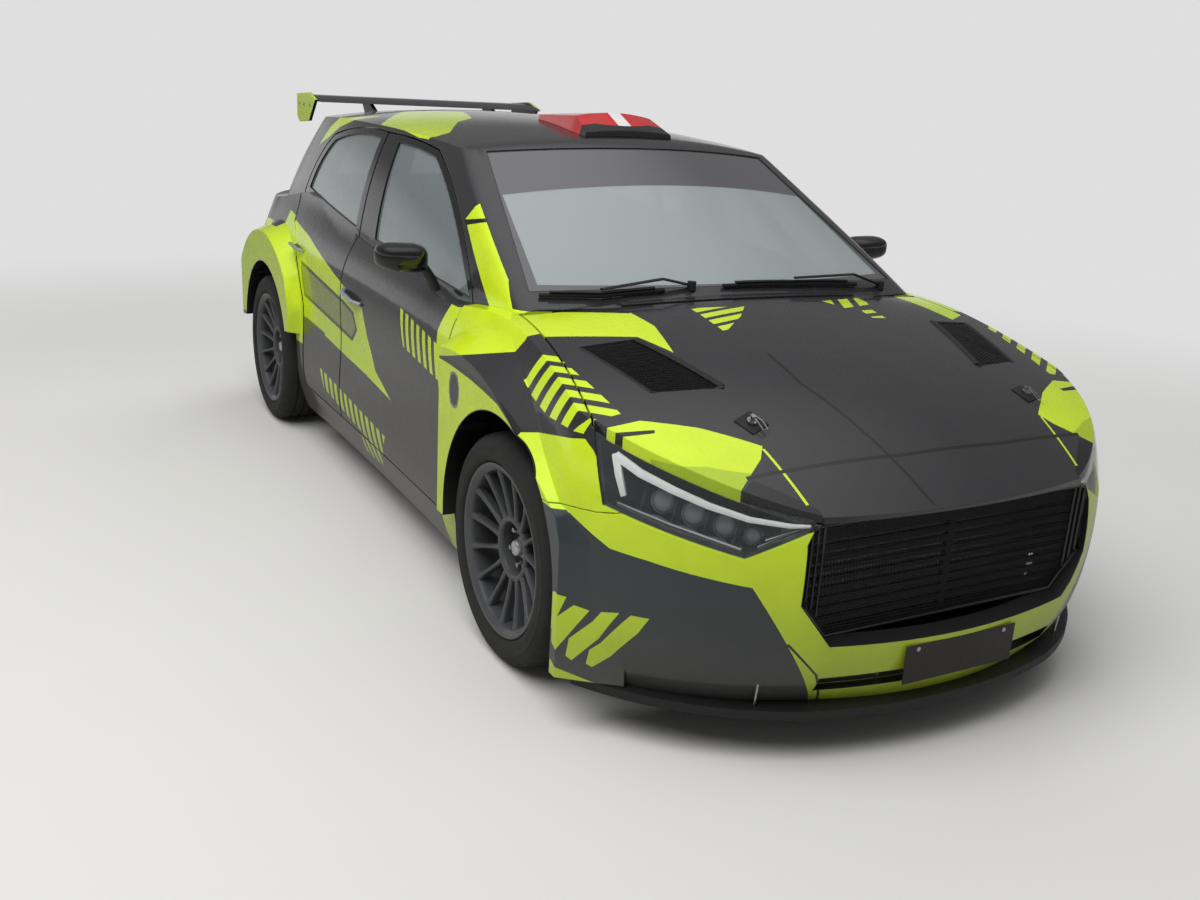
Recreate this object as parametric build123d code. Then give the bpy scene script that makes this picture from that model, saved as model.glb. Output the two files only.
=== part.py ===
# Five-door rally hatchback with wide arches, built as an assembly of its real panels.
# Frame: +X towards the nose, +Y towards the car's left side, +Z up. The origin is on the
# ground under the middle of the car. All sizes are in millimetres.

import os
from collections import namedtuple
from functools import cache, partial
from math import cos, radians, sin

from build123d import *

# overall places
front_axle_x = 1200
wheelbase = 2560
rear_axle_x = front_axle_x - wheelbase
wheel_centre_y = 785
kingpin_y = 690

# wheels, tyres and brakes
tyre_radius = 325
tyre_width = 228
bead_radius = 228.5
rim_flange_radius = 243
rim_width = 212
rim_wall = 12
rim_spokes = 15
spoke_width = 15
hub_radius = 58
hub_height = 40
hub_length = 84
axle_z = tyre_radius
disc_radius = 178
disc_thickness = 28
disc_centre_y = 741
hat_radius = 72
spindle_radius = 24
spindle_length = 95
carrier_radius = 50
carrier_inner_y = 640
carrier_outer_y = 712
boss_low_z = 205
boss_high_z = 450

# walls and gaps
door_wall = 46
pillar_wall = 32
roof_wall = 24
bonnet_wall = 30
glass_inset = 7
glass_thickness = 5
fit = 0.3
glass_fit = 0.5
door_gap = 5
frame_gap = 9
fixed_gap = 2

# wheel arches
arch_radius = 368
arch_centre_z = 345
flare_face_y = 908
liner_radius = 410
liner_wall = 6
liner_inner_y = 480

# door lines, in side view
door_front_x = 698
door_split_x = -385
door_bottom_z = 262
door_rear_x = -900

# front rails
rail_inner_y = 420
rail_outer_y = liner_inner_y - fit
rail_low_z = 380
rail_high_z = 460

# floor and bulkhead
floor_low_z = 165
floor_high_z = 190
boot_low_z = 420
boot_high_z = 440
riser_x = -930
riser_wall = 12
bulkhead_x = 765
bulkhead_wall = 12
shelf_z = 868
tunnel_half_width = 120
tunnel_top_z = 300
tunnel_wall = 15

# steering wheel
column_y = 370
column_tilt = 25
column_end = (455, column_y, 842)

reach = 3000


def whole(shape):
    """A boolean's result as one solid, or as a compound of its solids."""
    solids = shape.solids()
    return solids[0] if len(solids) == 1 else Compound(solids)


def keep(shape, *regions):
    """The part of a shape that lies in every region."""
    for region in regions:
        shape = whole(shape & region)
    return shape


def cut(shape, *tools):
    """A shape with every tool cut out of it."""
    return whole(shape - list(tools))


def fuse(shape, *others):
    """A shape joined with the others."""
    return whole(shape + list(others))


def largest(shape):
    """The largest solid of a shape."""
    return max(shape.solids(), key=lambda solid: solid.volume)


def box_between(low, high):
    """A box between two opposite corners."""
    size = [abs(h - l) for l, h in zip(low, high)]
    centre = [(h + l) / 2 for l, h in zip(low, high)]
    return Pos(*centre) * Box(*size)


def left_of(shape):
    """The mirror image of a right-hand piece."""
    return mirror(shape, about=Plane.XZ)


def both_sides(shape):
    """The pieces and their mirror images on the car's other side, as separate solids."""
    return Compound([*shape.solids(), *left_of(shape).solids()])


def outline(points):
    """A closed wire through points. A point with a third value is the middle of an arc."""
    edges = []
    count = len(points)
    i = 0
    while i < count:
        here, after = points[i], points[(i + 1) % count]
        if len(after) == 3:
            last = points[(i + 2) % count]
            edges.append(ThreePointArc(here[:2], after[:2], last[:2]))
            i += 2
        else:
            edges.append(Line(here[:2], after[:2]))
            i += 1
    return Wire(edges)


def flat_face(points, gap=0):
    """A face in an outline, moved in by a gap."""
    face = make_face(outline(points))
    return offset(face, amount=-gap, kind=Kind.INTERSECTION) if gap else face


def side_prism(points, y_from, y_to, gap=0):
    """A prism of an outline drawn in side view, x against z, between two y values."""
    low, high = min(y_from, y_to), max(y_from, y_to)
    return extrude(Plane.XZ.offset(-high) * flat_face(points, gap), high - low)


def plan_prism(points, z_from, z_to, gap=0):
    """A prism of an outline drawn in plan, x against y, between two heights."""
    return extrude(Plane.XY.offset(z_from) * flat_face(points, gap), z_to - z_from)


def front_prism(points, x_from, x_to, gap=0):
    """A prism of an outline drawn in front view, y against z, between two x values."""
    return extrude(Plane.YZ.offset(x_from) * flat_face(points, gap), x_to - x_from)


def cylinder_y(radius, x, z, y_from, y_to):
    """A round bar along Y."""
    return Pos(x, (y_from + y_to) / 2, z) * Rot(90, 0, 0) * Cylinder(radius, abs(y_to - y_from))


def rod(start, end, radius):
    """A round bar from one point to another."""
    a, b = Vector(*start), Vector(*end)
    axis = Plane(origin=a, z_dir=b - a)
    return axis * Cylinder(radius, (b - a).length, align=(Align.CENTER, Align.CENTER, Align.MIN))


# The body is two lofts of plan outlines, one for the lower body and one for the cabin.
# Each row is one height: the nose's x on the centre line, the end of the nose's arc, the
# front of the flank, the flank's half width at mid length, the rear of the flank, the end
# of the tail's arc and the tail's x on the centre line.
Level = namedtuple("Level", "z nose cheek_x cheek_y fore_x fore_y mid_y aft_x aft_y heel_x heel_y tail")

lower_levels = [
    Level(140, 2005, 1935, 385, 1545, 858, 806, -1700, 838, -1925, 610, -1985),
    Level(262, 2044, 1998, 405, 1545, 888, 850, -1700, 866, -1975, 630, -2030),
    Level(430, 2050, 2010, 435, 1545, 892, 859, -1700, 872, -1992, 640, -2048),
    Level(600, 2022, 1985, 455, 1540, 882, 851, -1690, 866, -1980, 650, -2036),
    Level(760, 1965, 1915, 455, 1520, 848, 853, -1660, 842, -1925, 645, -1980),
    Level(900, 1870, 1810, 440, 1440, 782, 814, -1620, 796, -1885, 630, -1938),
    Level(1070, 1720, 1660, 420, 1300, 715, 762, -1580, 735, -1815, 605, -1868),
]

cabin_levels = [
    Level(850, 1183, 1112, 690, 1050, 748, 790, -1700, 740, -1850, 640, -1905),
    Level(1000, 933, 842, 664, 780, 722, 769, -1610, 712, -1775, 600, -1832),
    Level(1150, 686, 562, 622, 500, 680, 730, -1520, 672, -1690, 555, -1742),
    Level(1300, 428, 284, 574, 222, 628, 672, -1440, 615, -1590, 500, -1640),
    Level(1440, 190, 24, 520, -30, 568, 588, -1370, 540, -1490, 440, -1538),
]

# How far a corner's arc stands out from its chord, as a share of the chord.
nose_bulge = 0.10
cabin_bulge = 0.12
tail_bulge = 0.16


def plan_outline(level, inset, front_bulge):
    """One plan outline of the body at a height, moved in by an inset."""
    front = (level.nose - inset, 0)
    cheek = (level.cheek_x - inset, level.cheek_y - inset * 0.4)
    fore = (level.fore_x - inset * 0.4, level.fore_y - inset)
    mid = ((level.fore_x + level.aft_x) / 2, level.mid_y - inset)
    aft = (level.aft_x + inset * 0.4, level.aft_y - inset)
    heel = (level.heel_x + inset, level.heel_y - inset * 0.4)
    back = (level.tail + inset, 0)

    def bulged(a, b, share):
        dx, dy = b[0] - a[0], b[1] - a[1]
        return ((a[0] + b[0]) / 2 + dy * share, (a[1] + b[1]) / 2 - dx * share, "arc")

    corner = bulged(cheek, fore, front_bulge)
    haunch = bulged(aft, heel, tail_bulge)
    left = [cheek, corner, fore, (*mid, "arc"), aft, haunch, heel]
    right = [(x, -y, *kind) for x, y, *kind in reversed(left)]
    return Pos(0, 0, level.z) * outline([*left, (*back, "arc"), *right, (*front, "arc")])


# The top of the lower body: x, height on the centre line and height at crown_half_width.
deck_stations = [
    (2120, 552, 455),
    (1990, 650, 568),
    (1750, 793, 700),
    (1500, 884, 792),
    (1250, 938, 862),
    (950, 966, 905),
    (550, 925, 888),
    (0, 960, 938),
    (-650, 1012, 996),
    (-1250, 1042, 1020),
    (-1480, 1020, 974),
    (-1700, 1000, 950),
    (-2100, 968, 925),
]
crown_half_width = 900

# The roof: x, height on the centre line and height at roof_half_width.
roof_stations = [
    (1200, 1240, 1180),
    (500, 1345, 1288),
    (270, 1376, 1320),
    (0, 1397, 1344),
    (-450, 1411, 1360),
    (-950, 1408, 1357),
    (-1450, 1386, 1334),
    (-2100, 1336, 1284),
]
roof_half_width = 600


def under_surface(stations, half_width, drop):
    """Everything under a crowned surface, lofted through arcs across the car."""
    edge = 1100
    wires = []
    for x, centre_z, side_z in stations:
        fall = (centre_z - side_z) * (edge / half_width) ** 2
        top = centre_z - drop
        points = [(edge, -100), (edge, top - fall), (0, top, "arc"), (-edge, top - fall), (-edge, -100)]
        wires.append(Plane.YZ.offset(x) * outline(points))
    return Solid.make_loft(wires)


@cache
def lower_body(inset, top_inset):
    """The lower body up to the bonnet's and the belt's surface, as a solid moved in by insets."""
    tub = Solid.make_loft([plan_outline(level, inset, nose_bulge) for level in lower_levels])
    return keep(tub, under_surface(deck_stations, crown_half_width, top_inset))


@cache
def cabin_body(inset, top_inset):
    """The cabin, from inside the belt up to the roof, as a solid moved in by insets."""
    pod = Solid.make_loft([plan_outline(level, inset, cabin_bulge) for level in cabin_levels])
    return keep(pod, under_surface(roof_stations, roof_half_width, top_inset))


def lower_shell(outer, inner):
    """The layer of the lower body between two insets."""
    return cut(lower_body(outer, outer), lower_body(inner, inner))


# Wheel arch flares: the flat outer face of each, and the wider outline where it meets the
# body.
front_flare_face = [(782, 300), (782, 806), (1120, 786, "arc"), (1350, 672), (1560, 560), (1592, 500), (1600, 142),
                    (1480, 142), (1480, 300)]
front_flare_root = [(770, 300), (770, 884), (1150, 884, "arc"), (1420, 760), (1600, 590), (1690, 520), (1712, 142),
                    (1470, 142), (1470, 300)]
rear_flare_face = [(-1790, 400), (-1800, 660), (-1450, 842, "arc"), (-1010, 700), (-957, 575), (-964, 478)]
rear_flare_root = [(-1850, 400), (-1860, 700), (-1480, 888, "arc"), (-960, 740), (-905, 590), (-930, 462)]


def flare(face_points, root_points, root_y):
    """A right-hand flare: a loft from its flat outer face to the line where it meets the body."""
    face = Plane.XZ.offset(flare_face_y) * outline(face_points)
    root = Plane.XZ.offset(root_y) * outline(root_points)
    return cut(Solid.make_loft([face, root], ruled=True), lower_body(door_wall, roof_wall))


def arch_cut(axle_x):
    """The round openings over a pair of wheels, open at the bottom."""
    low = axle_x - arch_radius
    high = axle_x + arch_radius
    points = [(low, -100), (low, arch_centre_z), (axle_x, arch_centre_z + arch_radius, "arc"),
              (high, arch_centre_z), (high, -100)]
    return both_sides(side_prism(points, -reach, -liner_inner_y))


def make_skin():
    """The hollow body with its flares and wheel arches, before it is split into panels."""
    skin = fuse(lower_body(0, 0), cabin_body(0, 0))
    skin = cut(skin, lower_body(door_wall, roof_wall), cabin_body(pillar_wall, roof_wall))
    front = flare(front_flare_face, front_flare_root, 770)
    rear = flare(rear_flare_face, rear_flare_root, 790)
    skin = fuse(skin, front, left_of(front), rear, left_of(rear))
    return cut(skin, arch_cut(front_axle_x), arch_cut(rear_axle_x))


def front_door_line(swing=0):
    """The front door's outline in side view. The swing room narrows its upper rear edge."""
    return [
        (door_front_x, door_bottom_z), (door_front_x, 868),
        (640, 950), (380, 1150, "arc"), (60, 1312),
        (-150, 1332, "arc"), (door_split_x - 30 + swing, 1338),
        (door_split_x, 900), (door_split_x, door_bottom_z),
    ]


def rear_door_line(swing=0):
    """The rear door's outline in side view. The swing room narrows its rear edge."""
    return [
        (door_split_x, door_bottom_z),
        (door_split_x, 900), (door_split_x - 30, 1338),
        (-800, 1330, "arc"), (-1085 + swing, 1286),
        (-1222 + swing, 1180, "arc"), (-1312 + swing, 1030),
        (-1222 + swing, 905), (-1030 + swing, 770, "arc"), (door_rear_x - 15 + swing, 600),
        (door_rear_x + swing, door_bottom_z),
    ]


front_window_line = [
    (640, 916), (392, 1110, "arc"), (62, 1286),
    (-145, 1306, "arc"), (door_split_x + 108, 1310),
    (door_split_x + 170, 972),
]
rear_window_line = [
    (door_split_x - 60, 985), (door_split_x - 82, 1311),
    (-800, 1304, "arc"), (-1040, 1264),
    (-1168, 1162, "arc"), (-1236, 1052),
]

bonnet_rear_gap = 25
bonnet_lamp_gap = 10


def bonnet_line(rear=0, side=0, lamp=0):
    """The bonnet's outline in plan, moved out by the room it needs at each edge."""
    lamp_x, lamp_y = lamp * 0.66, lamp * 0.75
    left = [
        (968 - rear, 733 + side), (1290, 768 + side, "arc"), (1556 + lamp_x, 812 + lamp_y),
        (1803 + lamp_x, 664 + lamp_y, "arc"), (1972 + lamp_x, 430 + lamp_y), (2250, 400 + lamp_y),
    ]
    right = [(x, -y, *kind) for x, y, *kind in reversed(left)]
    return [*left, *right, (1055 - rear, 0, "arc")]


def bonnet_opening():
    """Everything that the bonnet's opening cuts out of its neighbours."""
    return plan_prism(bonnet_line(bonnet_rear_gap, door_gap, bonnet_lamp_gap), 560, 1100)


bonnet_vent = [(1242, -700), (1258, -528), (1560, -438), (1516, -632)]
vent_depth = 8
vent_sheet = 6
vent_slots = 11
vent_slot_x = 1266
vent_slot_pitch = 23
vent_slot_width = 13
vent_slot_y = (-618, -542)
bonnet_low_z = 626


def make_bonnet():
    """The bonnet, with its two vent openings."""
    panel = cut(lower_body(0, 0), lower_body(0, bonnet_wall))
    panel = keep(panel, plan_prism(bonnet_line(), bonnet_low_z, 1100))
    return cut(panel, both_sides(plan_prism(bonnet_vent, 500, 1100)))


def make_bonnet_vents():
    """A slotted mesh panel sunk in each vent opening of the bonnet."""
    sheet = cut(lower_body(0, vent_depth), lower_body(0, vent_depth + vent_sheet))
    mesh = keep(sheet, plan_prism(bonnet_vent, 500, 1100, glass_fit))
    for step in range(vent_slots):
        x = vent_slot_x + step * vent_slot_pitch
        mesh = cut(mesh, box_between((x, vent_slot_y[0], 500), (x + vent_slot_width, vent_slot_y[1], 1100)))
    return both_sides(mesh)


# Each headlamp is cut along a slanting plane that faces its cover.
lamp_turn = radians(50)
lamp_plane = Plane(origin=(0, 0, 0), x_dir=(sin(lamp_turn), cos(lamp_turn), 0), z_dir=(cos(lamp_turn), -sin(lamp_turn), 0))
lamp_line = [(660, 830), (1275, 700), (1275, 637), (1084, 537), (733, 607)]
lamp_lens_inset = 3
lamp_lens_thickness = 5
lamp_depth = 95
lamp_bowl_wall = 9


def lamp_prism(gap=0):
    """The right headlamp's outline as a slanting prism, moved in by a gap."""
    prism = extrude(lamp_plane * flat_face(lamp_line, gap), 2200)
    return keep(prism, box_between((1450, -1000, 300), (2300, -300, 1100)))


def make_lamp_lenses():
    """The clear covers of the headlamps."""
    lens = keep(lower_shell(lamp_lens_inset, lamp_lens_inset + lamp_lens_thickness), lamp_prism(glass_fit))
    return both_sides(cut(lens, bonnet_opening()))


def make_lamp_bowls():
    """The dark housings behind the covers, each open to the front."""
    start = lamp_lens_inset + lamp_lens_thickness + fit
    block = cut(keep(lower_shell(start, lamp_depth), lamp_prism(glass_fit)), bonnet_opening())
    back = lower_body(lamp_depth - lamp_bowl_wall, lamp_depth - lamp_bowl_wall)
    hollow = cut(keep(lower_body(0, 0), lamp_prism(glass_fit + lamp_bowl_wall)), back)
    return both_sides(largest(cut(block, hollow)))


# The front bumper is everything ahead of the wheel below this line.
bumper_line = [(1450, 60), (1450, 574), (1640, 586), (1760, 612), (2300, 612), (2300, 60)]
grille_outer = [(500, 585), (505, 425), (408, 303), (-408, 303), (-505, 425), (-500, 585), (-430, 700), (430, 700)]
grille_inner = [(470, 580), (474, 432), (386, 328), (-386, 328), (-474, 432), (-470, 580), (-410, 700), (410, 700)]
grille_top_z = 620
grille_front_x = 1986
lip_groove = (184, 227)
lip_groove_half_width = 392
lip_groove_depth = 30


def make_front_bumper():
    """The bumper with its grille mouth and the groove between its lips."""
    shell = keep(skin, side_prism(bumper_line, -reach, reach))
    shell = cut(shell, bonnet_opening(), both_sides(lamp_prism()))
    mouth = Solid.make_loft([Plane.YZ.offset(2080) * outline(grille_outer),
                             Plane.YZ.offset(grille_front_x - 1) * outline(grille_inner)], ruled=True)
    half = lip_groove_half_width
    groove = cut(box_between((1900, -half, lip_groove[0]), (2300, half, lip_groove[1])), lower_body(lip_groove_depth, 0))
    return cut(shell, mouth, front_prism(grille_inner, 1700, grille_front_x), groove)


splitter_low_z = 116


def make_splitter():
    """The flat splitter under the bumper."""
    plan = Level(splitter_low_z, 2048, 1990, 405, 1545, 890, 850, 1300, 850, 1200, 600, 1190)
    plate = extrude(make_face(plan_outline(plan, 0, nose_bulge)), lower_levels[0].z - splitter_low_z)
    return cut(plate, arch_cut(front_axle_x), box_between((0, -reach, 0), (1600, reach, 400)))


grille_back_x = 1950
grille_thickness = 16
grille_rows = 9
grille_first_z = 346
grille_pitch = 27
grille_slot = 15
grille_post = 10


def make_grille():
    """The slatted panel in the bumper's mouth."""
    panel = front_prism(grille_inner, grille_back_x, grille_back_x + grille_thickness, glass_fit)
    panel = cut(panel, box_between((1900, -reach, grille_top_z), (2000, reach, 800)))
    slots = []
    for row in range(grille_rows):
        z = grille_first_z + row * grille_pitch
        width = min(440, 380 + row * 22)
        slots.append(box_between((1900, grille_post, z), (2000, width, z + grille_slot)))
        slots.append(box_between((1900, -grille_post, z), (2000, -width, z + grille_slot)))
    return cut(panel, *slots)


# The wings' outline in side view: the door's front edge, the belt and the bumper's line.
wing_line = [(door_front_x, 100), (door_front_x, 868), (640, 950), (700, 1020), (1000, 1020), (2200, 800),
             (2200, 612), (1760, 612), (1640, 586), (1450, 574), (1450, 100)]


def make_front_wings():
    """The two front wings."""
    wing = keep(skin, side_prism(wing_line, -reach, -430, fixed_gap))
    wing = cut(wing, bonnet_opening(), both_sides(lamp_prism()), cabin_body(-fixed_gap, -fixed_gap))
    wing = cut(wing, box_between((600, -reach, 100), (door_front_x + door_gap / 2, reach, 1100)))
    return both_sides(largest(wing))


# The tailgate's outline in side view, and its half width.
tailgate_line = [(-1520, 1560), (-1486, 1380), (-1478, 1330), (-1600, 1110), (-1730, 1000), (-1840, 700), (-1840, 600),
                 (-2300, 600), (-2300, 1560)]
tailgate_half_width = 585
rear_window_front = [(462, 1066), (395, 1290), (-395, 1290), (-462, 1066)]


def tailgate_prism(gap=0):
    """The tailgate's outline as a prism across the car, moved in by a gap."""
    half = tailgate_half_width - gap
    return side_prism(tailgate_line, -half, half, gap)


def make_tailgate():
    """The tailgate with its window opening."""
    return cut(keep(skin, tailgate_prism(door_gap)), front_prism(rear_window_front, -2300, -1400))


@cache
def glass_shell():
    """The thin layer of the cabin that all its windows are cut from."""
    inner = glass_inset + glass_thickness
    return cut(cabin_body(glass_inset, glass_inset), cabin_body(inner, inner))


def make_tailgate_glass():
    """The tailgate's window."""
    return keep(glass_shell(), front_prism(rear_window_front, -2300, -1400, glass_fit))


def windscreen_prism(gap=0):
    """The windscreen's opening as a prism along X, moved in by a gap."""
    low, low_mid, high, high_mid = 975 + gap, 985 + gap, 1322 - gap, 1350 - gap
    points = [(676 - gap, low), (548 - gap, high), (0, high_mid, "arc"), (gap - 548, high), (gap - 676, low),
              (0, low_mid, "arc")]
    return front_prism(points, 60, 1300)


def make_windscreen():
    """The windscreen, set into its frame."""
    return keep(glass_shell(), windscreen_prism(glass_fit))


rear_bumper_line = [(-1660, 60), (-1660, 585), (-1850, 600), (-2300, 600), (-2300, 60)]


def make_rear_bumper():
    """The rear bumper, with the diffuser's opening in its lower edge."""
    shell = keep(skin, side_prism(rear_bumper_line, -reach, reach, fixed_gap))
    return cut(shell, box_between((-2300, -340, 100), (-1900, 340, 236)))


tail_lamp_line = [(628, 742), (780, 800), (760, 930), (612, 900)]


def tail_lamp_prism(gap=0):
    """The right tail lamp's outline as a prism along X."""
    return left_of(front_prism(tail_lamp_line, -2300, -1700, gap))


def make_tail_lamps():
    """The tail lamps, as thick as the wall that they sit in."""
    return both_sides(keep(skin, tail_lamp_prism(glass_fit)))


def make_body_shell():
    """Roof, pillars, cowl, sills and quarter panels in one, with every opening cut."""
    doors = fuse(side_prism(front_door_line(), -reach, -400), side_prism(rear_door_line(), -reach, -400))
    wings = cut(side_prism(wing_line, -reach, -430), cabin_body(-fixed_gap, -fixed_gap))
    nose = box_between((1100, -reach, 0), (2300, reach, 1200))
    shell = cut(skin, both_sides(doors), tailgate_prism(), side_prism(rear_bumper_line, -reach, reach),
                windscreen_prism(), bonnet_opening(), both_sides(wings), nose,
                both_sides(tail_lamp_prism()))
    return largest(shell)


def door_panel(line, window):
    """A right-hand door with its window opening."""
    return cut(keep(skin, side_prism(line, -reach, -400, door_gap)), side_prism(window, -reach, -400))


def door_glass(window):
    """A right-hand door's window pane."""
    return keep(glass_shell(), side_prism(window, -reach, -400, glass_fit))


# A mirror's outlines in front view: the foot on the door, and the housing.
mirror_foot = [(745, 860), (745, 922), (795, 938), (850, 1012), (850, 978), (812, 915), (800, 860)]
mirror_housing = [(840, 975), (842, 1050), (900, 1082, "arc"), (985, 1066), (1000, 1020, "arc"), (980, 968),
                  (900, 958, "arc")]
mirror_x = 470


def make_mirror():
    """The right-hand door mirror with its foot, cut to the door's surface."""
    foot = front_prism(mirror_foot, mirror_x - 20, mirror_x + 50)
    housing = front_prism(mirror_housing, mirror_x - 40, mirror_x + 60)
    piece = cut(left_of(fuse(foot, housing)), lower_body(-fit, -fit), cabin_body(-fit, -fit))
    return largest(piece)


# The scoop's cross sections: x, half width at the roof, half width at the top, height of the
# top's edge and height on the centre line.
scoop_sections = [(230, 185, 170, 1392, 1402), (110, 180, 150, 1440, 1456), (-300, 120, 95, 1425, 1432)]
scoop_foot_z = 1330


def make_roof_scoop():
    """The air scoop on the roof."""
    wires = []
    for x, foot_y, top_y, edge_z, top_z in scoop_sections:
        points = [(-foot_y, scoop_foot_z), (-top_y, edge_z), (0, top_z, "arc"), (top_y, edge_z), (foot_y, scoop_foot_z)]
        wires.append(Plane.YZ.offset(x) * outline(points))
    return cut(Solid.make_loft(wires, ruled=True), cabin_body(-fit, -fit))


# The rear wing's main plane and end plates in side view.
wing_plane_line = [(-1640, 1392), (-1800, 1418, "arc"), (-1985, 1404), (-1985, 1394), (-1800, 1394, "arc")]
wing_half_width = 560
wing_plate_line = [(-1690, 1400), (-1800, 1428), (-2004, 1416), (-2004, 1310), (-1960, 1288), (-1800, 1300)]
wing_plate_thickness = 14
pylon_line = [(-1560, 1340), (-1700, 1402), (-1800, 1402), (-1700, 1290)]
pylon_y = 300
pylon_thickness = 18


def make_rear_wing():
    """The rear wing: its main plane, its end plates and its two pylons."""
    wing = side_prism(wing_plane_line, -wing_half_width, wing_half_width)
    for side in (-1, 1):
        inner = side * wing_half_width
        plate = side_prism(wing_plate_line, inner, inner + side * wing_plate_thickness)
        pylon = side_prism(pylon_line, side * pylon_y, side * (pylon_y + pylon_thickness))
        wing = fuse(wing, plate, pylon)
    return cut(wing, cabin_body(-fit, -fit))


# Hinge plates and brackets that reach from the inner frame to the outer panels, each from
# its low to its high corner on the right: front door, rear door, wing, sill, tailgate and
# rear bumper.
pad_places = [
    ((645, -1000, 340), (690, -740, 410)),
    ((645, -1000, 690), (690, -740, 760)),
    ((-445, -1000, 340), (-395, -740, 410)),
    ((-445, -1000, 690), (-395, -740, 760)),
    ((708, -1000, 700), (770, -740, 760)),
    ((-60, -1000, floor_low_z), (60, -700, floor_high_z)),
    ((-2100, -556, 700), (-1800, -530, 760)),
    ((-2200, -430, 330), (-1850, -350, boot_high_z)),
]
floor_half_width = 755
post_inner_y = 700
post_high_z = 905
# The centre pillar's outer edge in front view, from the belt up, and the depth of its section.
pillar_edge = [(736, 880), (727, 1000), (688, 1150), (628, 1300)]
pillar_depth = 34


def make_inner_frame():
    """The floors, tunnel, bulkhead, door posts, centre pillars and tail posts, joined into one frame."""
    floor = box_between((riser_x, -floor_half_width, floor_low_z), (bulkhead_x, floor_half_width, floor_high_z))
    riser = box_between((riser_x, -floor_half_width, floor_low_z), (riser_x + riser_wall, floor_half_width, boot_high_z))
    boot_half_width = liner_inner_y - fit
    boot_floor = box_between((-1880, -boot_half_width, boot_low_z), (riser_x, boot_half_width, boot_high_z))
    tail_bar = box_between((-1880, -556, boot_low_z), (-1780, 556, boot_high_z))
    tunnel = box_between((riser_x, -tunnel_half_width, floor_low_z), (bulkhead_x, tunnel_half_width, tunnel_top_z))
    wall = box_between((bulkhead_x, -750, floor_low_z), (bulkhead_x + bulkhead_wall, 750, shelf_z + 12))
    shelf = box_between((bulkhead_x, -640, shelf_z), (1005, 640, shelf_z + 12))
    front_posts = box_between((640, -floor_half_width, floor_low_z), (bulkhead_x + 5, -post_inner_y, shelf_z))
    centre_posts = box_between((-450, -floor_half_width, floor_low_z), (-330, -post_inner_y, post_high_z))
    tail_posts = box_between((-1830, -556, boot_low_z), (-1780, -500, 900))
    outer_edge = [(-y, z) for y, z in pillar_edge]
    inner_edge = [(pillar_depth - y, z) for y, z in reversed(pillar_edge)]
    pillars = front_prism([*outer_edge, *inner_edge], -450, -340)
    pads = [box_between(low, high) for low, high in pad_places]
    right = keep(fuse(pads[0], *pads[1:]), lower_body(door_wall + fit, roof_wall + fit))
    right = fuse(right, front_posts, centre_posts, pillars, tail_posts)
    frame = fuse(floor, riser, boot_floor, tail_bar, tunnel, wall, shelf, right, left_of(right))
    space = tunnel_half_width - tunnel_wall
    return cut(frame, box_between((riser_x - 50, -space, 0), (bulkhead_x + 50, space, tunnel_top_z - tunnel_wall)))


slam_x = 1640
pin_x = 1749
pin_y = 431


def make_front_frame():
    """The two front rails with their crash cans, and the slam panel with the bonnet's pins."""
    rail = box_between((bulkhead_x + bulkhead_wall + fit, -rail_outer_y, rail_low_z), (1700, -rail_inner_y, rail_high_z))
    can = keep(box_between((slam_x, -560, rail_low_z), (2100, -440, rail_high_z)), lower_body(door_wall + fit, roof_wall))
    can = cut(can, box_between((1930, -486, 300), (2100, -400, 600)))
    post = box_between((slam_x, -460, rail_high_z - 5), (slam_x + 40, -rail_inner_y, 665))
    stand = box_between((slam_x, -447, 645), (pin_x + 16, -415, 665))
    pin = keep(Pos(pin_x, -pin_y, 755) * Cylinder(8, 200), lower_body(60, bonnet_wall + fit))
    side = fuse(rail, can, post, stand, pin)
    panel = box_between((slam_x, -rail_inner_y - 5, 640), (slam_x + 40, rail_inner_y + 5, 665))
    return fuse(side, panel, left_of(side))


def make_wheelhouses():
    """The round liner over each wheel."""
    pieces = []
    for axle_x in (front_axle_x, rear_axle_x):
        def drum(radius, y_from, y_to):
            bar = cylinder_y(radius, axle_x, arch_centre_z, y_from, y_to)
            return keep(bar, box_between((axle_x - 500, -1000, arch_centre_z - 105), (axle_x + 500, 0, 1200)))

        ring = drum(liner_radius + liner_wall, -810, -liner_inner_y)
        ring = cut(ring, drum(liner_radius, -900, -liner_inner_y - 10), cylinder_y(70, axle_x, axle_z, -600, -400))
        pieces.extend(keep(ring, lower_body(door_wall + fit, roof_wall + fit)).solids())
    return both_sides(Compound(pieces))


engine_rear_x = 1150


def make_engine_block():
    """The engine and gearbox as one plain block between the front rails."""
    half = rail_inner_y - fit
    return box_between((engine_rear_x, -half, 330), (1560, half, 720))


def make_radiator():
    """The radiator behind the grille."""
    half = 440 - fit
    return box_between((1800, -half, 300), (1845, half, 590))


def spindle_bore(axle_x):
    """The bore that a hub's spindle turns in."""
    return cylinder_y(spindle_radius + glass_fit, axle_x, axle_z, -1000, -500)


def caliper(axle_x):
    """The right-hand brake caliper, bridged over the disc's edge, with its arm."""
    half = disc_thickness / 2 + 3
    block = box_between((axle_x + 118, -780, axle_z - 70), (axle_x + 205, -kingpin_y, axle_z + 70))
    arm = box_between((axle_x + 30, -708, axle_z - 35), (axle_x + 150, -kingpin_y, axle_z + 35))
    slot = cylinder_y(disc_radius + 4, axle_x, axle_z, -disc_centre_y - half, -disc_centre_y + half)
    return keep(cut(fuse(block, arm), slot), cylinder_y(204, axle_x, axle_z, -1000, -500))


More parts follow.
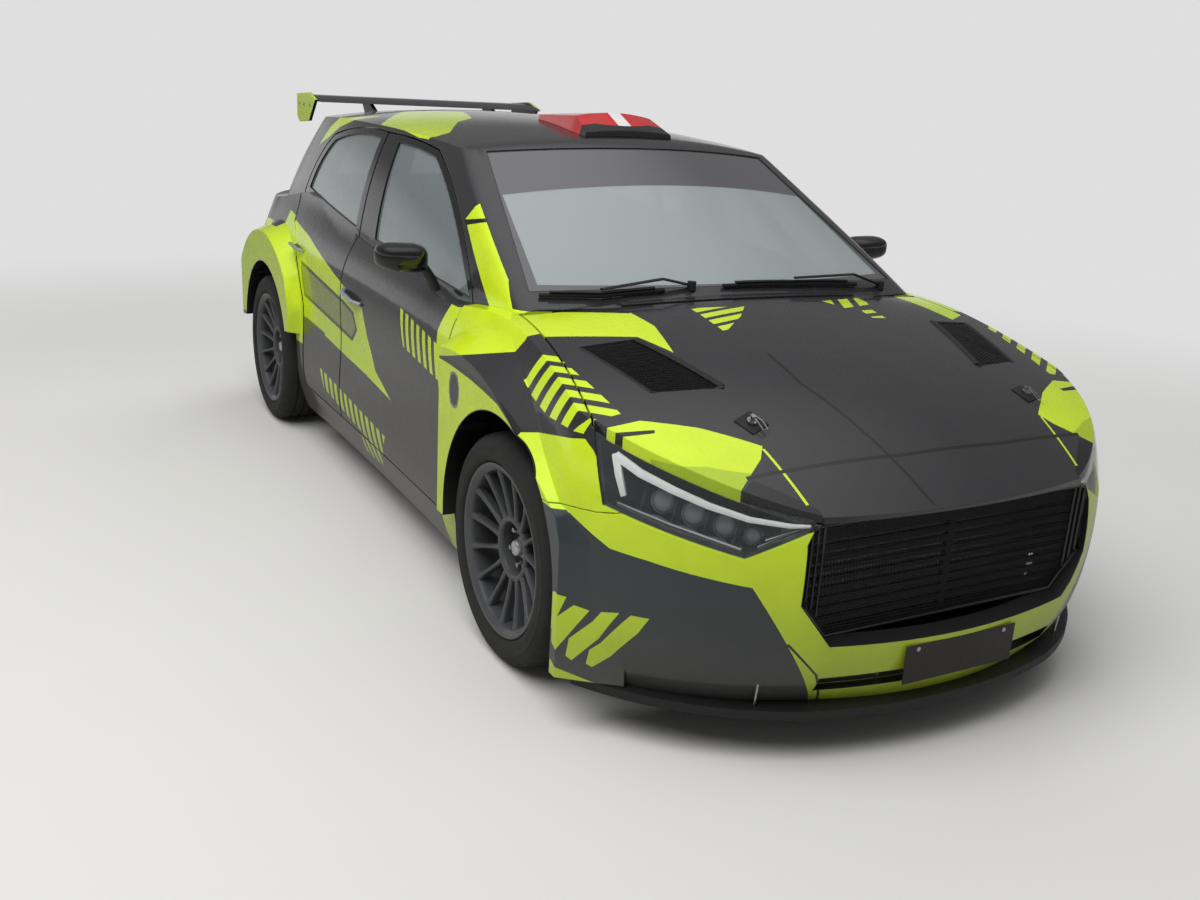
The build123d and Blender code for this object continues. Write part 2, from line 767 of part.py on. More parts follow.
def make_knuckle():
    """The right-hand steered knuckle: hub carrier, kingpin bosses and brake caliper."""
    body = cylinder_y(carrier_radius, front_axle_x, axle_z, -carrier_outer_y, -carrier_inner_y)
    post = box_between((front_axle_x - 22, -kingpin_y - 18, boss_low_z), (front_axle_x + 22, -kingpin_y + 18, boss_high_z))
    return cut(fuse(body, post, caliper(front_axle_x)), spindle_bore(front_axle_x))


def make_front_suspension():
    """The front subframe, the lower arms and the struts with their yokes."""
    subframe = box_between((1110, -400, 160), (1290, 400, 235))
    leg = box_between((1130, -470, 205), (1270, -425, rail_low_z - fit))
    foot = box_between((1150, -440, 205), (1250, -390, 232))
    arm_tip = -kingpin_y - 20
    arm = plan_prism([(1120, -380), (1280, -380), (1225, arm_tip), (1175, arm_tip)], 175, boss_low_z - fit)
    yoke = box_between((front_axle_x - 20, -kingpin_y - 14, boss_high_z + fit), (front_axle_x + 20, -590, boss_high_z + 30))
    strut = rod((front_axle_x, -605, boss_high_z + 5), (front_axle_x, -590, 790), 27)
    strut = keep(strut, cylinder_y(liner_radius - fit, front_axle_x, arch_centre_z, -700, -500))
    side = fuse(leg, foot, arm)
    return Compound([*fuse(subframe, side, left_of(side)).solids(), *both_sides(fuse(yoke, strut)).solids()])


def make_rear_suspension():
    """The rear crossmember, its arms, the hub carriers and the dampers."""
    beam = box_between((rear_axle_x - 45, -560, axle_z - 25), (rear_axle_x + 45, 560, axle_z + 25))
    mount = box_between((rear_axle_x - 45, -180, axle_z), (rear_axle_x + 45, 180, boot_low_z - fit))
    hub = cylinder_y(carrier_radius, rear_axle_x, axle_z, -carrier_outer_y, -carrier_inner_y)
    arm = box_between((rear_axle_x - 25, -660, axle_z - 25), (rear_axle_x + 25, -540, axle_z + 25))
    damper = rod((rear_axle_x, -612, axle_z), (rear_axle_x, -598, 800), 26)
    damper = keep(damper, cylinder_y(liner_radius - fit, rear_axle_x, arch_centre_z, -760, -490.5))
    side = cut(fuse(hub, arm, damper), spindle_bore(rear_axle_x))
    return fuse(beam, mount, side, left_of(side))


def wheel_place(axle_x):
    """A right-hand wheel's own frame: +Z points outboard from the wheel's centre."""
    return Pos(axle_x, -wheel_centre_y, axle_z) * Rot(90, 0, 0)


def turned(section):
    """A ring turned about Z from a section of radius against height."""
    return revolve(Plane.XZ * make_face(outline(section)), Axis.Z)


def make_tyre(axle_x):
    """A tyre, as a ring turned from its section."""
    half = tyre_width / 2
    bore = bead_radius + glass_fit
    outer = [(bore, half - 16), (262, half), (310, half - 8), (tyre_radius, half - 30)]
    inner = [(radius, -height) for radius, height in reversed(outer)]
    return wheel_place(axle_x) * turned([*outer, *inner])


def make_rim(axle_x):
    """A wheel rim with many thin straight spokes."""
    half = rim_width / 2
    inner = bead_radius - rim_wall
    rim = turned([(bead_radius, 6 - half), (bead_radius, half - 8), (rim_flange_radius, half), (inner, half), (inner, 6 - half)])
    hub = Pos(0, 0, hub_height) * Cylinder(hub_radius, hub_length)
    spoke_line = [(hub_radius - 14, hub_height), (hub_radius - 14, 76), (inner + 4, half - 8), (inner + 4, half - 32)]
    spoke = extrude(Plane.XZ.offset(-spoke_width / 2) * make_face(outline(spoke_line)), spoke_width)
    wheel = fuse(rim, hub, *[Rot(0, 0, i * 360 / rim_spokes) * spoke for i in range(rim_spokes)])
    return wheel_place(axle_x) * cut(wheel, Pos(0, 0, 80) * Cylinder(32, 30))


def make_disc(axle_x):
    """A brake disc with its hat and the spindle that runs in the carrier."""
    disc_z = disc_centre_y - wheel_centre_y
    hat_top = hub_height - hub_length / 2 - fit
    disc = Pos(0, 0, disc_z) * Cylinder(disc_radius, disc_thickness)
    hat = Pos(0, 0, (disc_z + hat_top) / 2) * Cylinder(hat_radius, hat_top - disc_z)
    spindle = Pos(0, 0, disc_z - spindle_length / 2) * Cylinder(spindle_radius, spindle_length)
    return wheel_place(axle_x) * fuse(disc, hat, spindle)


dash_half_width = 610


def make_dashboard():
    """The dashboard, with the steering column's housing."""
    face = bulkhead_x - fit
    side = [(face, 640), (face, 866), (600, 880), (560, 850), (570, 740), (640, 640)]
    dash = side_prism(side, -dash_half_width, dash_half_width)
    tilt = radians(column_tilt)
    axis = (-cos(tilt), 0, sin(tilt))
    end = tuple(p - a * (12 + fit) for p, a in zip(column_end, axis))
    start = tuple(p - a * 200 for p, a in zip(column_end, axis))
    return fuse(dash, rod(start, end, 28))


def make_steering_wheel():
    """The steering wheel, with its hub and three spokes."""
    spokes = [Rot(0, 0, angle) * Pos(85, 0, 0) * Box(150, 26, 8) for angle in (0, 180, 270)]
    wheel = fuse(Torus(165, 14), Cylinder(40, 24), *spokes)
    return Pos(*column_end) * Rot(0, column_tilt - 90, 0) * Rot(0, 0, 90) * wheel


seat_line = [(-380, 190.3), (120, 190.3), (150, 330), (120, 390), (-180, 330), (-270, 420), (-360, 800), (-400, 1040),
             (-470, 1050), (-480, 900), (-440, 420)]
seat_hollow = [(140, 420), (140, 300), (-170, 290), (-250, 400), (-330, 800), (-372, 1080), (-200, 1080)]
seat_half_width = 190
seat_wing = 25


def make_seats():
    """Two bucket seats, each a shell with side wings."""
    body = side_prism(seat_line, column_y - seat_half_width, column_y + seat_half_width)
    inner = seat_half_width - seat_wing
    return both_sides(cut(body, side_prism(seat_hollow, column_y - inner, column_y + inner)))


cage_radius = 20


def make_roll_cage():
    """The roll cage: main hoop, side hoops, door bars and rear stays."""
    hoop_belt, hoop_top = (-520, 655, 880), (-520, 525, 1312)
    front_foot, front_belt, front_top = (614, 640, 150), (540, 640, 930), (60, 525, 1285)
    bars = [((-520, 655, 150), hoop_belt), (hoop_belt, hoop_top), (hoop_top, front_top), (front_top, front_belt),
            (front_belt, front_foot), (hoop_top, (-1275, 427, 410)), (hoop_belt, (600, 640, 420))]
    left = fuse(*[rod(start, end, cage_radius) for start, end in bars])
    left = fuse(left, *[Pos(*point) * Sphere(cage_radius + 1) for point in (hoop_belt, hoop_top, front_top, front_belt)])
    hoop = [rod((x, -y, z), (x, y, z), cage_radius) for x, y, z in (hoop_top, front_top)]
    cage = fuse(left, left_of(left), *hoop)
    return cut(cage, box_between((-1000, -700, 0), (1000, 700, floor_high_z + fit)),
               box_between((-1500, -700, 0), (-1000, 700, boot_high_z + fit)))


pipe_radius = 30
tail_pipe_z = 190


def make_exhaust():
    """The exhaust pipe from the engine through the tunnel, its silencer, its hanger and its tail pipe."""
    z = tunnel_top_z - tunnel_wall - pipe_radius - fit
    bend = (980, 0, z)
    lead = keep(rod(bend, (1180, 0, 450), pipe_radius), box_between((900, -100, 0), (engine_rear_x - fit, 100, 600)))
    pipe = rod(bend, (-1600, 0, z), pipe_radius)
    silencer = box_between((-1880, -170, 175), (-1560, 170, z + pipe_radius))
    hanger = box_between((-1730, -60, z), (-1700, 60, boot_low_z - fit))
    tail = rod((-1870, 110, tail_pipe_z), (-2020, 110, tail_pipe_z), 32)
    return fuse(lead, pipe, Pos(*bend) * Sphere(pipe_radius), silencer, hanger, tail)


def make_sump_guard():
    """The guard plate under the engine."""
    return box_between((1000, -330, 140), (1820, 330, 160 - fit))


skin = make_skin()

nodes = {
    "body_shell": make_body_shell,
    "inner_frame": make_inner_frame,
    "front_frame": make_front_frame,
    "wheelhouses": make_wheelhouses,
    "windscreen": make_windscreen,
    "front_bumper": make_front_bumper,
    "splitter": make_splitter,
    "grille": make_grille,
    "headlamp_lenses": make_lamp_lenses,
    "headlamp_bowls": make_lamp_bowls,
    "front_wings": make_front_wings,
    "rear_bumper": make_rear_bumper,
    "tail_lamps": make_tail_lamps,
    "roof_scoop": make_roof_scoop,
    "dashboard": make_dashboard,
    "seats": make_seats,
    "roll_cage": make_roll_cage,
    "engine_block": make_engine_block,
    "radiator": make_radiator,
    "front_suspension": make_front_suspension,
    "rear_suspension": make_rear_suspension,
    "exhaust": make_exhaust,
    "sump_guard": make_sump_guard,
    "steering_wheel": make_steering_wheel,
    "bonnet": make_bonnet,
    "bonnet_vents": make_bonnet_vents,
    "tailgate": make_tailgate,
    "tailgate_glass": make_tailgate_glass,
    "rear_wing": make_rear_wing,
}

handed_nodes = {
    "front_door": partial(door_panel, front_door_line(frame_gap - door_gap), front_window_line),
    "rear_door": partial(door_panel, rear_door_line(frame_gap), rear_window_line),
    "front_glass": partial(door_glass, front_window_line),
    "rear_glass": partial(door_glass, rear_window_line),
    "mirror": make_mirror,
    "knuckle": make_knuckle,
}
for end_name, axle_x in (("front", front_axle_x), ("rear", rear_axle_x)):
    handed_nodes[f"tyre_{end_name}"] = partial(make_tyre, axle_x)
    handed_nodes[f"rim_{end_name}"] = partial(make_rim, axle_x)
    handed_nodes[f"disc_{end_name}"] = partial(make_disc, axle_x)

os.makedirs("parts", exist_ok=True)
for node, make in nodes.items():
    export_step(make(), f"parts/{node}.step")
for node, make in handed_nodes.items():
    right = make()
    export_step(right, f"parts/{node}_right.step")
    export_step(left_of(right), f"parts/{node}_left.step")
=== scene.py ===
# Rally hatchback: paint, livery, wheels, lamps, meshes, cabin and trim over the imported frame.
from math import atan2, cos, exp, pi, radians, sin, sqrt

import bmesh
import bpy
from mathutils import Matrix, Vector
from mathutils.bvhtree import BVHTree


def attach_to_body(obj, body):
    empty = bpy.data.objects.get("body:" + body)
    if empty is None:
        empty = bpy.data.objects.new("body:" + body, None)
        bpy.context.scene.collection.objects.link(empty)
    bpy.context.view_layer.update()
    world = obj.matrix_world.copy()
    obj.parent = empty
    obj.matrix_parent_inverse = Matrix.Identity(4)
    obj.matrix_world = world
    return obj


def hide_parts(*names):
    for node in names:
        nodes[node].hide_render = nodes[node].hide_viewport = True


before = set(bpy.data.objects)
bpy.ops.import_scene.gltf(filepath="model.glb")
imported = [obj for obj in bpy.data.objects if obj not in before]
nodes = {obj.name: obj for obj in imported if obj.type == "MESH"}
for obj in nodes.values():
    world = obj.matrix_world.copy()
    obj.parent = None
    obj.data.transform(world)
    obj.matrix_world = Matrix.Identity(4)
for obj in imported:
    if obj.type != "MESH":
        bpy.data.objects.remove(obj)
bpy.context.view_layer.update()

materials = {}
mm = 0.001
print("frame loaded:", len(nodes), "nodes")


# Camera, world and lamps
cameraSettings = {
    "place": (3.958, -2.146, 1.58),
    "yaw": 150.557,
    "pitch": -17.45,
    "roll": 3.395,
    "lens": 35.68,
    "sensor": 36,
    "farthest": 200,
}


def placeCamera(s):
    yaw, pitch, roll = (radians(s[k]) for k in ("yaw", "pitch", "roll"))
    look = Vector((cos(yaw) * cos(pitch), sin(yaw) * cos(pitch), sin(pitch)))
    level = Vector((sin(yaw), -cos(yaw), 0))
    over = level.cross(look)
    right = level * cos(roll) + over * sin(roll)
    up = over * cos(roll) - level * sin(roll)
    data = bpy.data.cameras.new("photoCamera")
    data.sensor_width = s["sensor"]
    data.lens = s["lens"]
    data.clip_end = s["farthest"]
    cam = bpy.data.objects.new("photoCamera", data)
    cam.matrix_world = Matrix.Translation(s["place"]) @ Matrix((right, up, -look)).transposed().to_4x4()
    bpy.context.scene.collection.objects.link(cam)
    bpy.context.scene.camera = cam


lightSettings = {
    "worldStrength": 1.0,
    # height of a direction (0 level, 1 straight up) and how bright the studio is there
    "sky": [(0.0, 0.74), (0.07, 0.6), (0.2, 0.15), (0.66, 0.19), (1.0, 0.95)],
    "backdrop": 0.74,
    "aim": (0, 0, 0.5),
    "lampSize": 6.0,
    "lamps": [
        # place, power, colour
        ((1.8, -3.4, 6.0), 370, (1.0, 0.99, 0.97)),
        ((-4.0, 5.0, 5.0), 170, (0.96, 0.98, 1.0)),
    ],
}


def plug(tree, node, inputs):
    # Each socket is given a value, or linked to another node's output.
    for key, value in inputs.items():
        if isinstance(value, bpy.types.NodeSocket):
            tree.links.new(value, node.inputs[key])
        else:
            node.inputs[key].default_value = value
    return node


def addNode(tree, kind, inputs={}, **props):
    # One shader or geometry node.
    node = tree.nodes.new(kind)
    for key, value in props.items():
        setattr(node, key, value)
    return plug(tree, node, inputs)


def calc(tree, operation, a, b=0.0, c=0.0):
    return addNode(tree, "ShaderNodeMath", {0: a, 1: b, 2: c}, operation=operation).outputs[0]


def vectorCalc(tree, operation, a, b=(0, 0, 0), result="Vector"):
    return addNode(tree, "ShaderNodeVectorMath", {0: a, 1: b}, operation=operation).outputs[result]


def scaled(tree, vector, size):
    return addNode(tree, "ShaderNodeVectorMath", {0: vector, "Scale": size}, operation="SCALE").outputs[0]


def mixColour(tree, factor, a, b):
    inputs = {0: factor}
    for index, value in ((6, a), (7, b)):
        inputs[index] = value if isinstance(value, bpy.types.NodeSocket) else (*value, 1)
    return addNode(tree, "ShaderNodeMix", inputs, data_type="RGBA").outputs[2]


def seenDirectly(tree):
    # 1 for the rays that show the backdrop itself, 0 for those that light the car or shine in it.
    rays = addNode(tree, "ShaderNodeLightPath").outputs
    return rays, calc(tree, "MAXIMUM", rays["Is Camera Ray"], rays["Is Transmission Ray"])


def setUpWorld(s):
    # A plain pale backdrop; what lights the car is darker above it and bright overhead.
    world = bpy.data.worlds.new("paleStudio")
    bpy.context.scene.world = world
    world.use_nodes = True
    tree = world.node_tree
    tree.nodes.clear()
    coord = addNode(tree, "ShaderNodeTexCoord")
    split = addNode(tree, "ShaderNodeSeparateXYZ", {0: coord.outputs["Generated"]})
    ramp = addNode(tree, "ShaderNodeValToRGB", {0: split.outputs[2]})
    ramp.color_ramp.interpolation = "EASE"
    stops = ramp.color_ramp.elements
    while len(stops) < len(s["sky"]):
        stops.new(0.5)
    for stop, (height, level) in zip(stops, s["sky"]):
        stop.position = height
        stop.color = (level, level, level, 1)
    colour = mixColour(tree, seenDirectly(tree)[1], ramp.outputs[0], (s["backdrop"],) * 3)
    shine = addNode(tree, "ShaderNodeBackground", {"Color": colour, "Strength": s["worldStrength"]})
    addNode(tree, "ShaderNodeOutputWorld", {0: shine.outputs[0]})


def setUpLamps(s):
    for index, (place, power, colour) in enumerate(s["lamps"]):
        data = bpy.data.lights.new(f"softLamp{index}", "AREA")
        data.shape = "DISK"
        data.size = s["lampSize"]
        data.energy = power
        data.color = colour
        lamp = bpy.data.objects.new(data.name, data)
        lamp.location = place
        lamp.visible_glossy = False
        lamp.rotation_euler = (Vector(s["aim"]) - Vector(place)).to_track_quat("-Z", "Y").to_euler()
        bpy.context.scene.collection.objects.link(lamp)


placeCamera(cameraSettings)
setUpWorld(lightSettings)
setUpLamps(lightSettings)
bpy.context.scene.view_settings.view_transform = "Standard"
print("camera, world and lamps set")


# Mesh helpers
def makeObject(name, verts, faces, material=None, smooth=False):
    mesh = bpy.data.meshes.new(name)
    mesh.from_pydata([tuple(v) for v in verts], [], faces)
    mesh.validate()
    mesh.update()
    obj = bpy.data.objects.new(name, mesh)
    bpy.context.scene.collection.objects.link(obj)
    if material:
        mesh.materials.append(materials[material])
    if smooth:
        mesh.polygons.foreach_set("use_smooth", [True] * len(mesh.polygons))
    return obj


def recalculate(obj):
    bm = bmesh.new()
    bm.from_mesh(obj.data)
    bmesh.ops.remove_doubles(bm, verts=bm.verts, dist=1e-5)
    bmesh.ops.recalc_face_normals(bm, faces=bm.faces)
    bm.to_mesh(obj.data)
    bm.free()


def bakeModifiers(obj):
    # The evaluated shape becomes the object's own plain mesh.
    bpy.context.view_layer.update()
    graph = bpy.context.evaluated_depsgraph_get()
    mesh = bpy.data.meshes.new_from_object(obj.evaluated_get(graph))
    obj.modifiers.clear()
    obj.data = mesh
    return obj


def smoothByAngle(obj, angle=32):
    mesh = obj.data
    mesh.polygons.foreach_set("use_smooth", [True] * len(mesh.polygons))
    mesh.set_sharp_from_angle(angle=radians(angle))
    return obj


def roundEdges(obj, width, segments=2, angle=35):
    bevel = obj.modifiers.new("roundEdges", "BEVEL")
    bevel.width = width
    bevel.segments = segments
    bevel.limit_method = "ANGLE"
    bevel.angle_limit = radians(angle)
    return smoothByAngle(bakeModifiers(obj))


def bandFaces(rows, count, around=True, closed=False):
    # Four-sided faces between rows of vertices, each row with count vertices.
    faces = []
    for i in range(rows if closed else rows - 1):
        j = (i + 1) % rows
        for k in range(count if around else count - 1):
            m = (k + 1) % count
            faces.append((i * count + k, i * count + m, j * count + m, j * count + k))
    return faces


def endFaces(rows, count):
    return [tuple(reversed(range(count))), tuple(range((rows - 1) * count, rows * count))]


def prism(name, outlinePoints, thickness, place, across, along, material):
    # A flat outline made thick. across and along are the outline's two directions.
    across, along = Vector(across).normalized(), Vector(along).normalized()
    normal = across.cross(along)
    flat = [Vector(place) + across * u + along * v for u, v in outlinePoints]
    verts = flat + [p + normal * thickness for p in flat]
    obj = makeObject(name, verts, endFaces(2, len(flat)) + bandFaces(2, len(flat)), material)
    recalculate(obj)
    return obj


def blockPiece(name, low, high, material, bevel):
    (x0, y0, z0), (x1, y1, z1) = low, high
    verts = [(x, y, z) for x in (x0, x1) for y in (y0, y1) for z in (z0, z1)]
    faces = [(0, 1, 3, 2), (4, 6, 7, 5), (0, 4, 5, 1), (2, 3, 7, 6), (0, 2, 6, 4), (1, 5, 7, 3)]
    obj = makeObject(name, verts, faces, material)
    recalculate(obj)
    return roundEdges(obj, bevel)


def sweepTube(name, points, radius, material, sides=12, closed=False, flat=1.0):
    # A round or flattened bar along points, with its ends closed.
    points = [Vector(p) for p in points]
    count = len(points)
    verts = []
    for i, p in enumerate(points):
        if closed:
            tangent = (points[(i + 1) % count] - points[i - 1]).normalized()
        else:
            tangent = (points[min(i + 1, count - 1)] - points[max(i - 1, 0)]).normalized()
        side = tangent.cross(Vector((0, 0, 1)))
        side = side.normalized() if side.length > 1e-4 else Vector((0, 1, 0))
        up = side.cross(tangent)
        for k in range(sides):
            a = 2 * pi * k / sides
            verts.append(p + side * cos(a) * radius + up * sin(a) * radius * flat)
    faces = bandFaces(count, sides, closed=closed)
    if not closed:
        faces += endFaces(count, sides)
    obj = makeObject(name, verts, faces, material, smooth=True)
    recalculate(obj)
    return smoothByAngle(obj, 50)


def revolveY(name, profile, centre, material, steps=96, outward=-1, closed=True):
    # A ring turned about a line along Y. The profile is (radius, distance outboard) pairs.
    cx, cy, cz = centre
    verts = []
    for i in range(steps):
        a = 2 * pi * i / steps
        verts += [(cx + r * cos(a), cy + outward * h, cz + r * sin(a)) for r, h in profile]
    faces = bandFaces(steps, len(profile), around=closed, closed=True)
    obj = makeObject(name, verts, faces, material, smooth=True)
    recalculate(obj)
    return obj


def joined(name, pieces):
    # Several meshes as one object, each face keeping its material.
    bm = bmesh.new()
    slots = []
    for piece in pieces:
        start = len(bm.faces)
        bm.from_mesh(piece.data)
        bm.faces.ensure_lookup_table()
        for mat in piece.data.materials:
            if mat not in slots:
                slots.append(mat)
        table = [slots.index(mat) for mat in piece.data.materials]
        for face in bm.faces[start:]:
            face.material_index = table[face.material_index] if table else 0
    mesh = bpy.data.meshes.new(name)
    bm.to_mesh(mesh)
    bm.free()
    for mat in slots:
        mesh.materials.append(mat)
    obj = bpy.data.objects.new(name, mesh)
    bpy.context.scene.collection.objects.link(obj)
    for piece in pieces:
        bpy.data.objects.remove(piece)
    return obj


def mirrored(obj, name):
    # The same piece on the car's other side.
    mesh = obj.data.copy()
    mesh.transform(Matrix.Scale(-1, 4, (0, 1, 0)))
    mesh.flip_normals()
    other = bpy.data.objects.new(name, mesh)
    bpy.context.scene.collection.objects.link(other)
    return other


def attach(obj, body, replaces=()):
    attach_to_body(obj, body)
    if replaces:
        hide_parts(*replaces)
    return obj


def attachBoth(name, pieces, body, replaces=""):
    # A right-hand piece and its mirror image. {side} in a node's name stands for right and left.
    right = joined(f"{name}-right", pieces)
    for side, piece in (("right", right), ("left", mirrored(right, f"{name}-left"))):
        attach(piece, body.format(side=side), [replaces.format(side=side)] if replaces else ())


# Materials
def newMaterial(name):
    mat = bpy.data.materials.new(name)
    mat.use_nodes = True
    tree = mat.node_tree
    tree.nodes.clear()
    bsdf = addNode(tree, "ShaderNodeBsdfPrincipled")
    addNode(tree, "ShaderNodeOutputMaterial", {0: bsdf.outputs[0]})
    materials[name] = mat
    return tree, bsdf


def objectPlace(tree):
    return addNode(tree, "ShaderNodeTexCoord").outputs["Object"]


def noise(tree, place, scale, detail=3.0, roughness=0.55):
    inputs = {"Vector": place, "Scale": scale, "Detail": detail, "Roughness": roughness}
    return addNode(tree, "ShaderNodeTexNoise", inputs).outputs["Fac"]


def spread(tree, value, low, high):
    # A texture's 0 to 1 turned into a range of values.
    return addNode(tree, "ShaderNodeMapRange", {0: value, 1: 0.3, 2: 0.7, 3: low, 4: high}).outputs[0]


def surface(name, colour, rough=(0.4, 0.5), grain=60.0, shade=0.06, bump=0.0, bumpScale=400.0, **sockets):
    # A plain finish: its colour and roughness vary a little, with an optional fine bump.
    tree, bsdf = newMaterial(name)
    place = objectPlace(tree)
    cloud = noise(tree, place, grain)
    darker = tuple(c * (1 - shade) for c in colour)
    lighter = tuple(min(1, c * (1 + shade)) for c in colour)
    inputs = {key.replace("_", " "): value for key, value in sockets.items()}
    inputs["Base Color"] = mixColour(tree, spread(tree, cloud, 0.0, 1.0), darker, lighter)
    inputs["Roughness"] = spread(tree, cloud, *rough)
    if bump:
        fine = {"Strength": 1.0, "Distance": bump, "Height": noise(tree, place, bumpScale, 2.0)}
        inputs["Normal"] = addNode(tree, "ShaderNodeBump", fine).outputs[0]
    plug(tree, bsdf, inputs)


paintColours = {
    "yellow": (0.6, 0.8, 0.012),
    # painted shade: a darker copy of the yellow for the brow over the headlamps
    "shadedYellow": (0.4, 0.55, 0.008),
    "dark": (0.024, 0.024, 0.027),
    "black": (0.004, 0.004, 0.0045),
    "charcoal": (0.022, 0.03, 0.038),
    "olive": (0.2, 0.25, 0.045),
    "grey": (0.16, 0.16, 0.175),
    "red": (0.55, 0.01, 0.012),
    "white": (0.78, 0.78, 0.78),
}
# side and front fold the car's two sides onto each other, as top does; plan tells them apart
viewAxes = {"side": (0, 2), "front": (1, 2), "top": (0, 1), "plan": (0, 1)}


def inView(view, u, v):
    # A direction seen in a view as one in space.
    direction = [0.0, 0.0, 0.0]
    for axis, value in zip(viewAxes[view], (u, v)):
        direction[axis] = value
    return tuple(direction)


def planesOf(view, corners):
    # The half spaces whose common part is a convex patch, seen in one view, in millimetres.
    sides = list(zip(corners, corners[1:] + corners[:1]))
    turn = 1 if sum(p[0] * q[1] - q[0] * p[1] for p, q in sides) > 0 else -1
    planes = []
    for p, q in sides:
        du, dv = q[0] - p[0], q[1] - p[1]
        length = sqrt(du * du + dv * dv)
        nu, nv = -dv * turn / length, du * turn / length
        planes.append((inView(view, nu, nv), -(nu * p[0] + nv * p[1]) * mm))
    return planes


def patchMask(tree, spots, view, corners, bars=None, within=None, disc=None):
    spot = spots["signed"] if view == "plan" else spots["folded"]
    if disc:
        # Everything nearer than a radius to a line across the car.
        x, z, radius = (value * mm for value in disc)
        away = vectorCalc(tree, "DISTANCE", vectorCalc(tree, "MULTIPLY", spot, (1, 0, 1)), (x, 0, z), "Value")
        return calc(tree, "LESS_THAN", away, radius)
    depth = None
    for n, c in planesOf(view, corners) + (planesOf(*within) if within else []):
        value = calc(tree, "ADD", vectorCalc(tree, "DOT_PRODUCT", spot, n, "Value"), c)
        depth = value if depth is None else calc(tree, "MINIMUM", depth, value)
    mask = calc(tree, "GREATER_THAN", depth, 0.0)
    if bars:
        # Bars: how far one steps along each of the view's two directions, the pitch, and how full it is.
        du, dv, pitch, full = bars
        step = inView(view, du / (pitch * mm), dv / (pitch * mm))
        along = calc(tree, "FRACT", vectorCalc(tree, "DOT_PRODUCT", spot, step, "Value"))
        mask = calc(tree, "MULTIPLY", mask, calc(tree, "LESS_THAN", along, full))
    return mask


paintFinish = {
    "roughness": (0.24, 0.32),
    "coat": 0.7,
    "coatRoughness": 0.06,
    "edgeRadius": 0.004,
    # dust low on the body: scale, detail and roughness of its grain, its heights, how much there is
    "grime": (38.0, 5.0, 0.7),
    "dustHeight": (0.16, 0.62),
    "dustColour": (0.17, 0.155, 0.13),
    "dustRange": (0.25, 0.38),
    "dustRoughens": 0.25,
    # the paint's own cloudiness: scale and detail, and its range
    "cloud": (9.0, 4.0),
    "cloudRange": (0.95, 1.05),
    # faces that look in towards the car's middle line, which counts less lengthwise, get painted shade: a
    # near-black colour for the shade inside the car
    "lengthwise": 0.3,
    "middleHeight": 0.55,
    "inward": -0.05,
    "insideShadeColour": (0.012, 0.012, 0.013),
}


def paint(name, base, patches, s=paintFinish):
    # Car paint with its livery: each patch is painted over the ones before it.
    tree, bsdf = newMaterial(name)
    place = objectPlace(tree)
    x, y, z = addNode(tree, "ShaderNodeSeparateXYZ", {0: place}).outputs
    folded = addNode(tree, "ShaderNodeCombineXYZ", {0: x, 1: calc(tree, "ABSOLUTE", y), 2: z})
    spots = {"signed": place, "folded": folded.outputs[0]}
    colour = paintColours[base]
    for over, shape in patches:
        colour = mixColour(tree, patchMask(tree, spots, **shape), colour, paintColours[over])
    grime = noise(tree, place, *s["grime"])
    low, high = s["dustHeight"]
    depth = addNode(tree, "ShaderNodeMapRange", {0: z, 1: high, 2: low}).outputs[0]
    dust = calc(tree, "MULTIPLY", depth, spread(tree, grime, *s["dustRange"]))
    colour = mixColour(tree, calc(tree, "MULTIPLY", dust, depth), colour, s["dustColour"])
    # painted shade: faces turned in towards the car's middle are made near black, standing in for the shade
    # inside the car and under the panels
    stretched = vectorCalc(tree, "MULTIPLY", place, (s["lengthwise"], 1, 1))
    outward = vectorCalc(tree, "SUBTRACT", stretched, (0, 0, s["middleHeight"]))
    normal = addNode(tree, "ShaderNodeTexCoord").outputs["Normal"]
    facing = vectorCalc(tree, "DOT_PRODUCT", outward, normal, "Value")
    colour = mixColour(tree, calc(tree, "LESS_THAN", facing, s["inward"]), colour, s["insideShadeColour"])
    value = spread(tree, noise(tree, place, *s["cloud"]), *s["cloudRange"])
    shade = addNode(tree, "ShaderNodeHueSaturation", {"Value": value, "Color": colour})
    dull = calc(tree, "MULTIPLY", depth, s["dustRoughens"])
    rough = calc(tree, "ADD", spread(tree, grime, *s["roughness"]), dull)
    edges = addNode(tree, "ShaderNodeBevel", {"Radius": s["edgeRadius"]}, samples=4).outputs[0]
    plug(tree, bsdf, {"Base Color": shade.outputs[0], "Roughness": rough, "Normal": edges,
                      "Coat Normal": edges, "Coat Weight": s["coat"], "Coat Roughness": s["coatRoughness"]})


# Livery, in millimetres of the car's frame. Every patch is convex.
def patch(view, colour, corners=(), **more):
    return colour, {"view": view, "corners": corners, **more}


def archLiner(axle):
    # The inside of a wheel arch is black: a disc above the arch's middle and a block below it.
    middle, radius = 345, 370.5
    low, high = axle - radius, axle + radius
    return [patch("side", "black", disc=(axle, middle, radius)),
            patch("side", "black", [(low, 90), (low, middle), (high, middle), (high, 90)])]


# where a patch seen in one view stops in another
wingTop = ("side", [(1200, 757), (1200, 950), (1640, 950), (1640, 757)])
roofTop = ("side", [(-1200, 1340), (-1200, 1500), (0, 1500), (0, 1336)])
cheekFront = ("front", [(346, 90), (610, 525), (1000, 700), (1000, 90)])
lampBrow = ("side", [(1600, 640), (1600, 735), (1790, 728), (1900, 700), (1900, 640)])
scuttle = ("front", [(640, 800), (640, 1000), (900, 1000), (900, 800)])

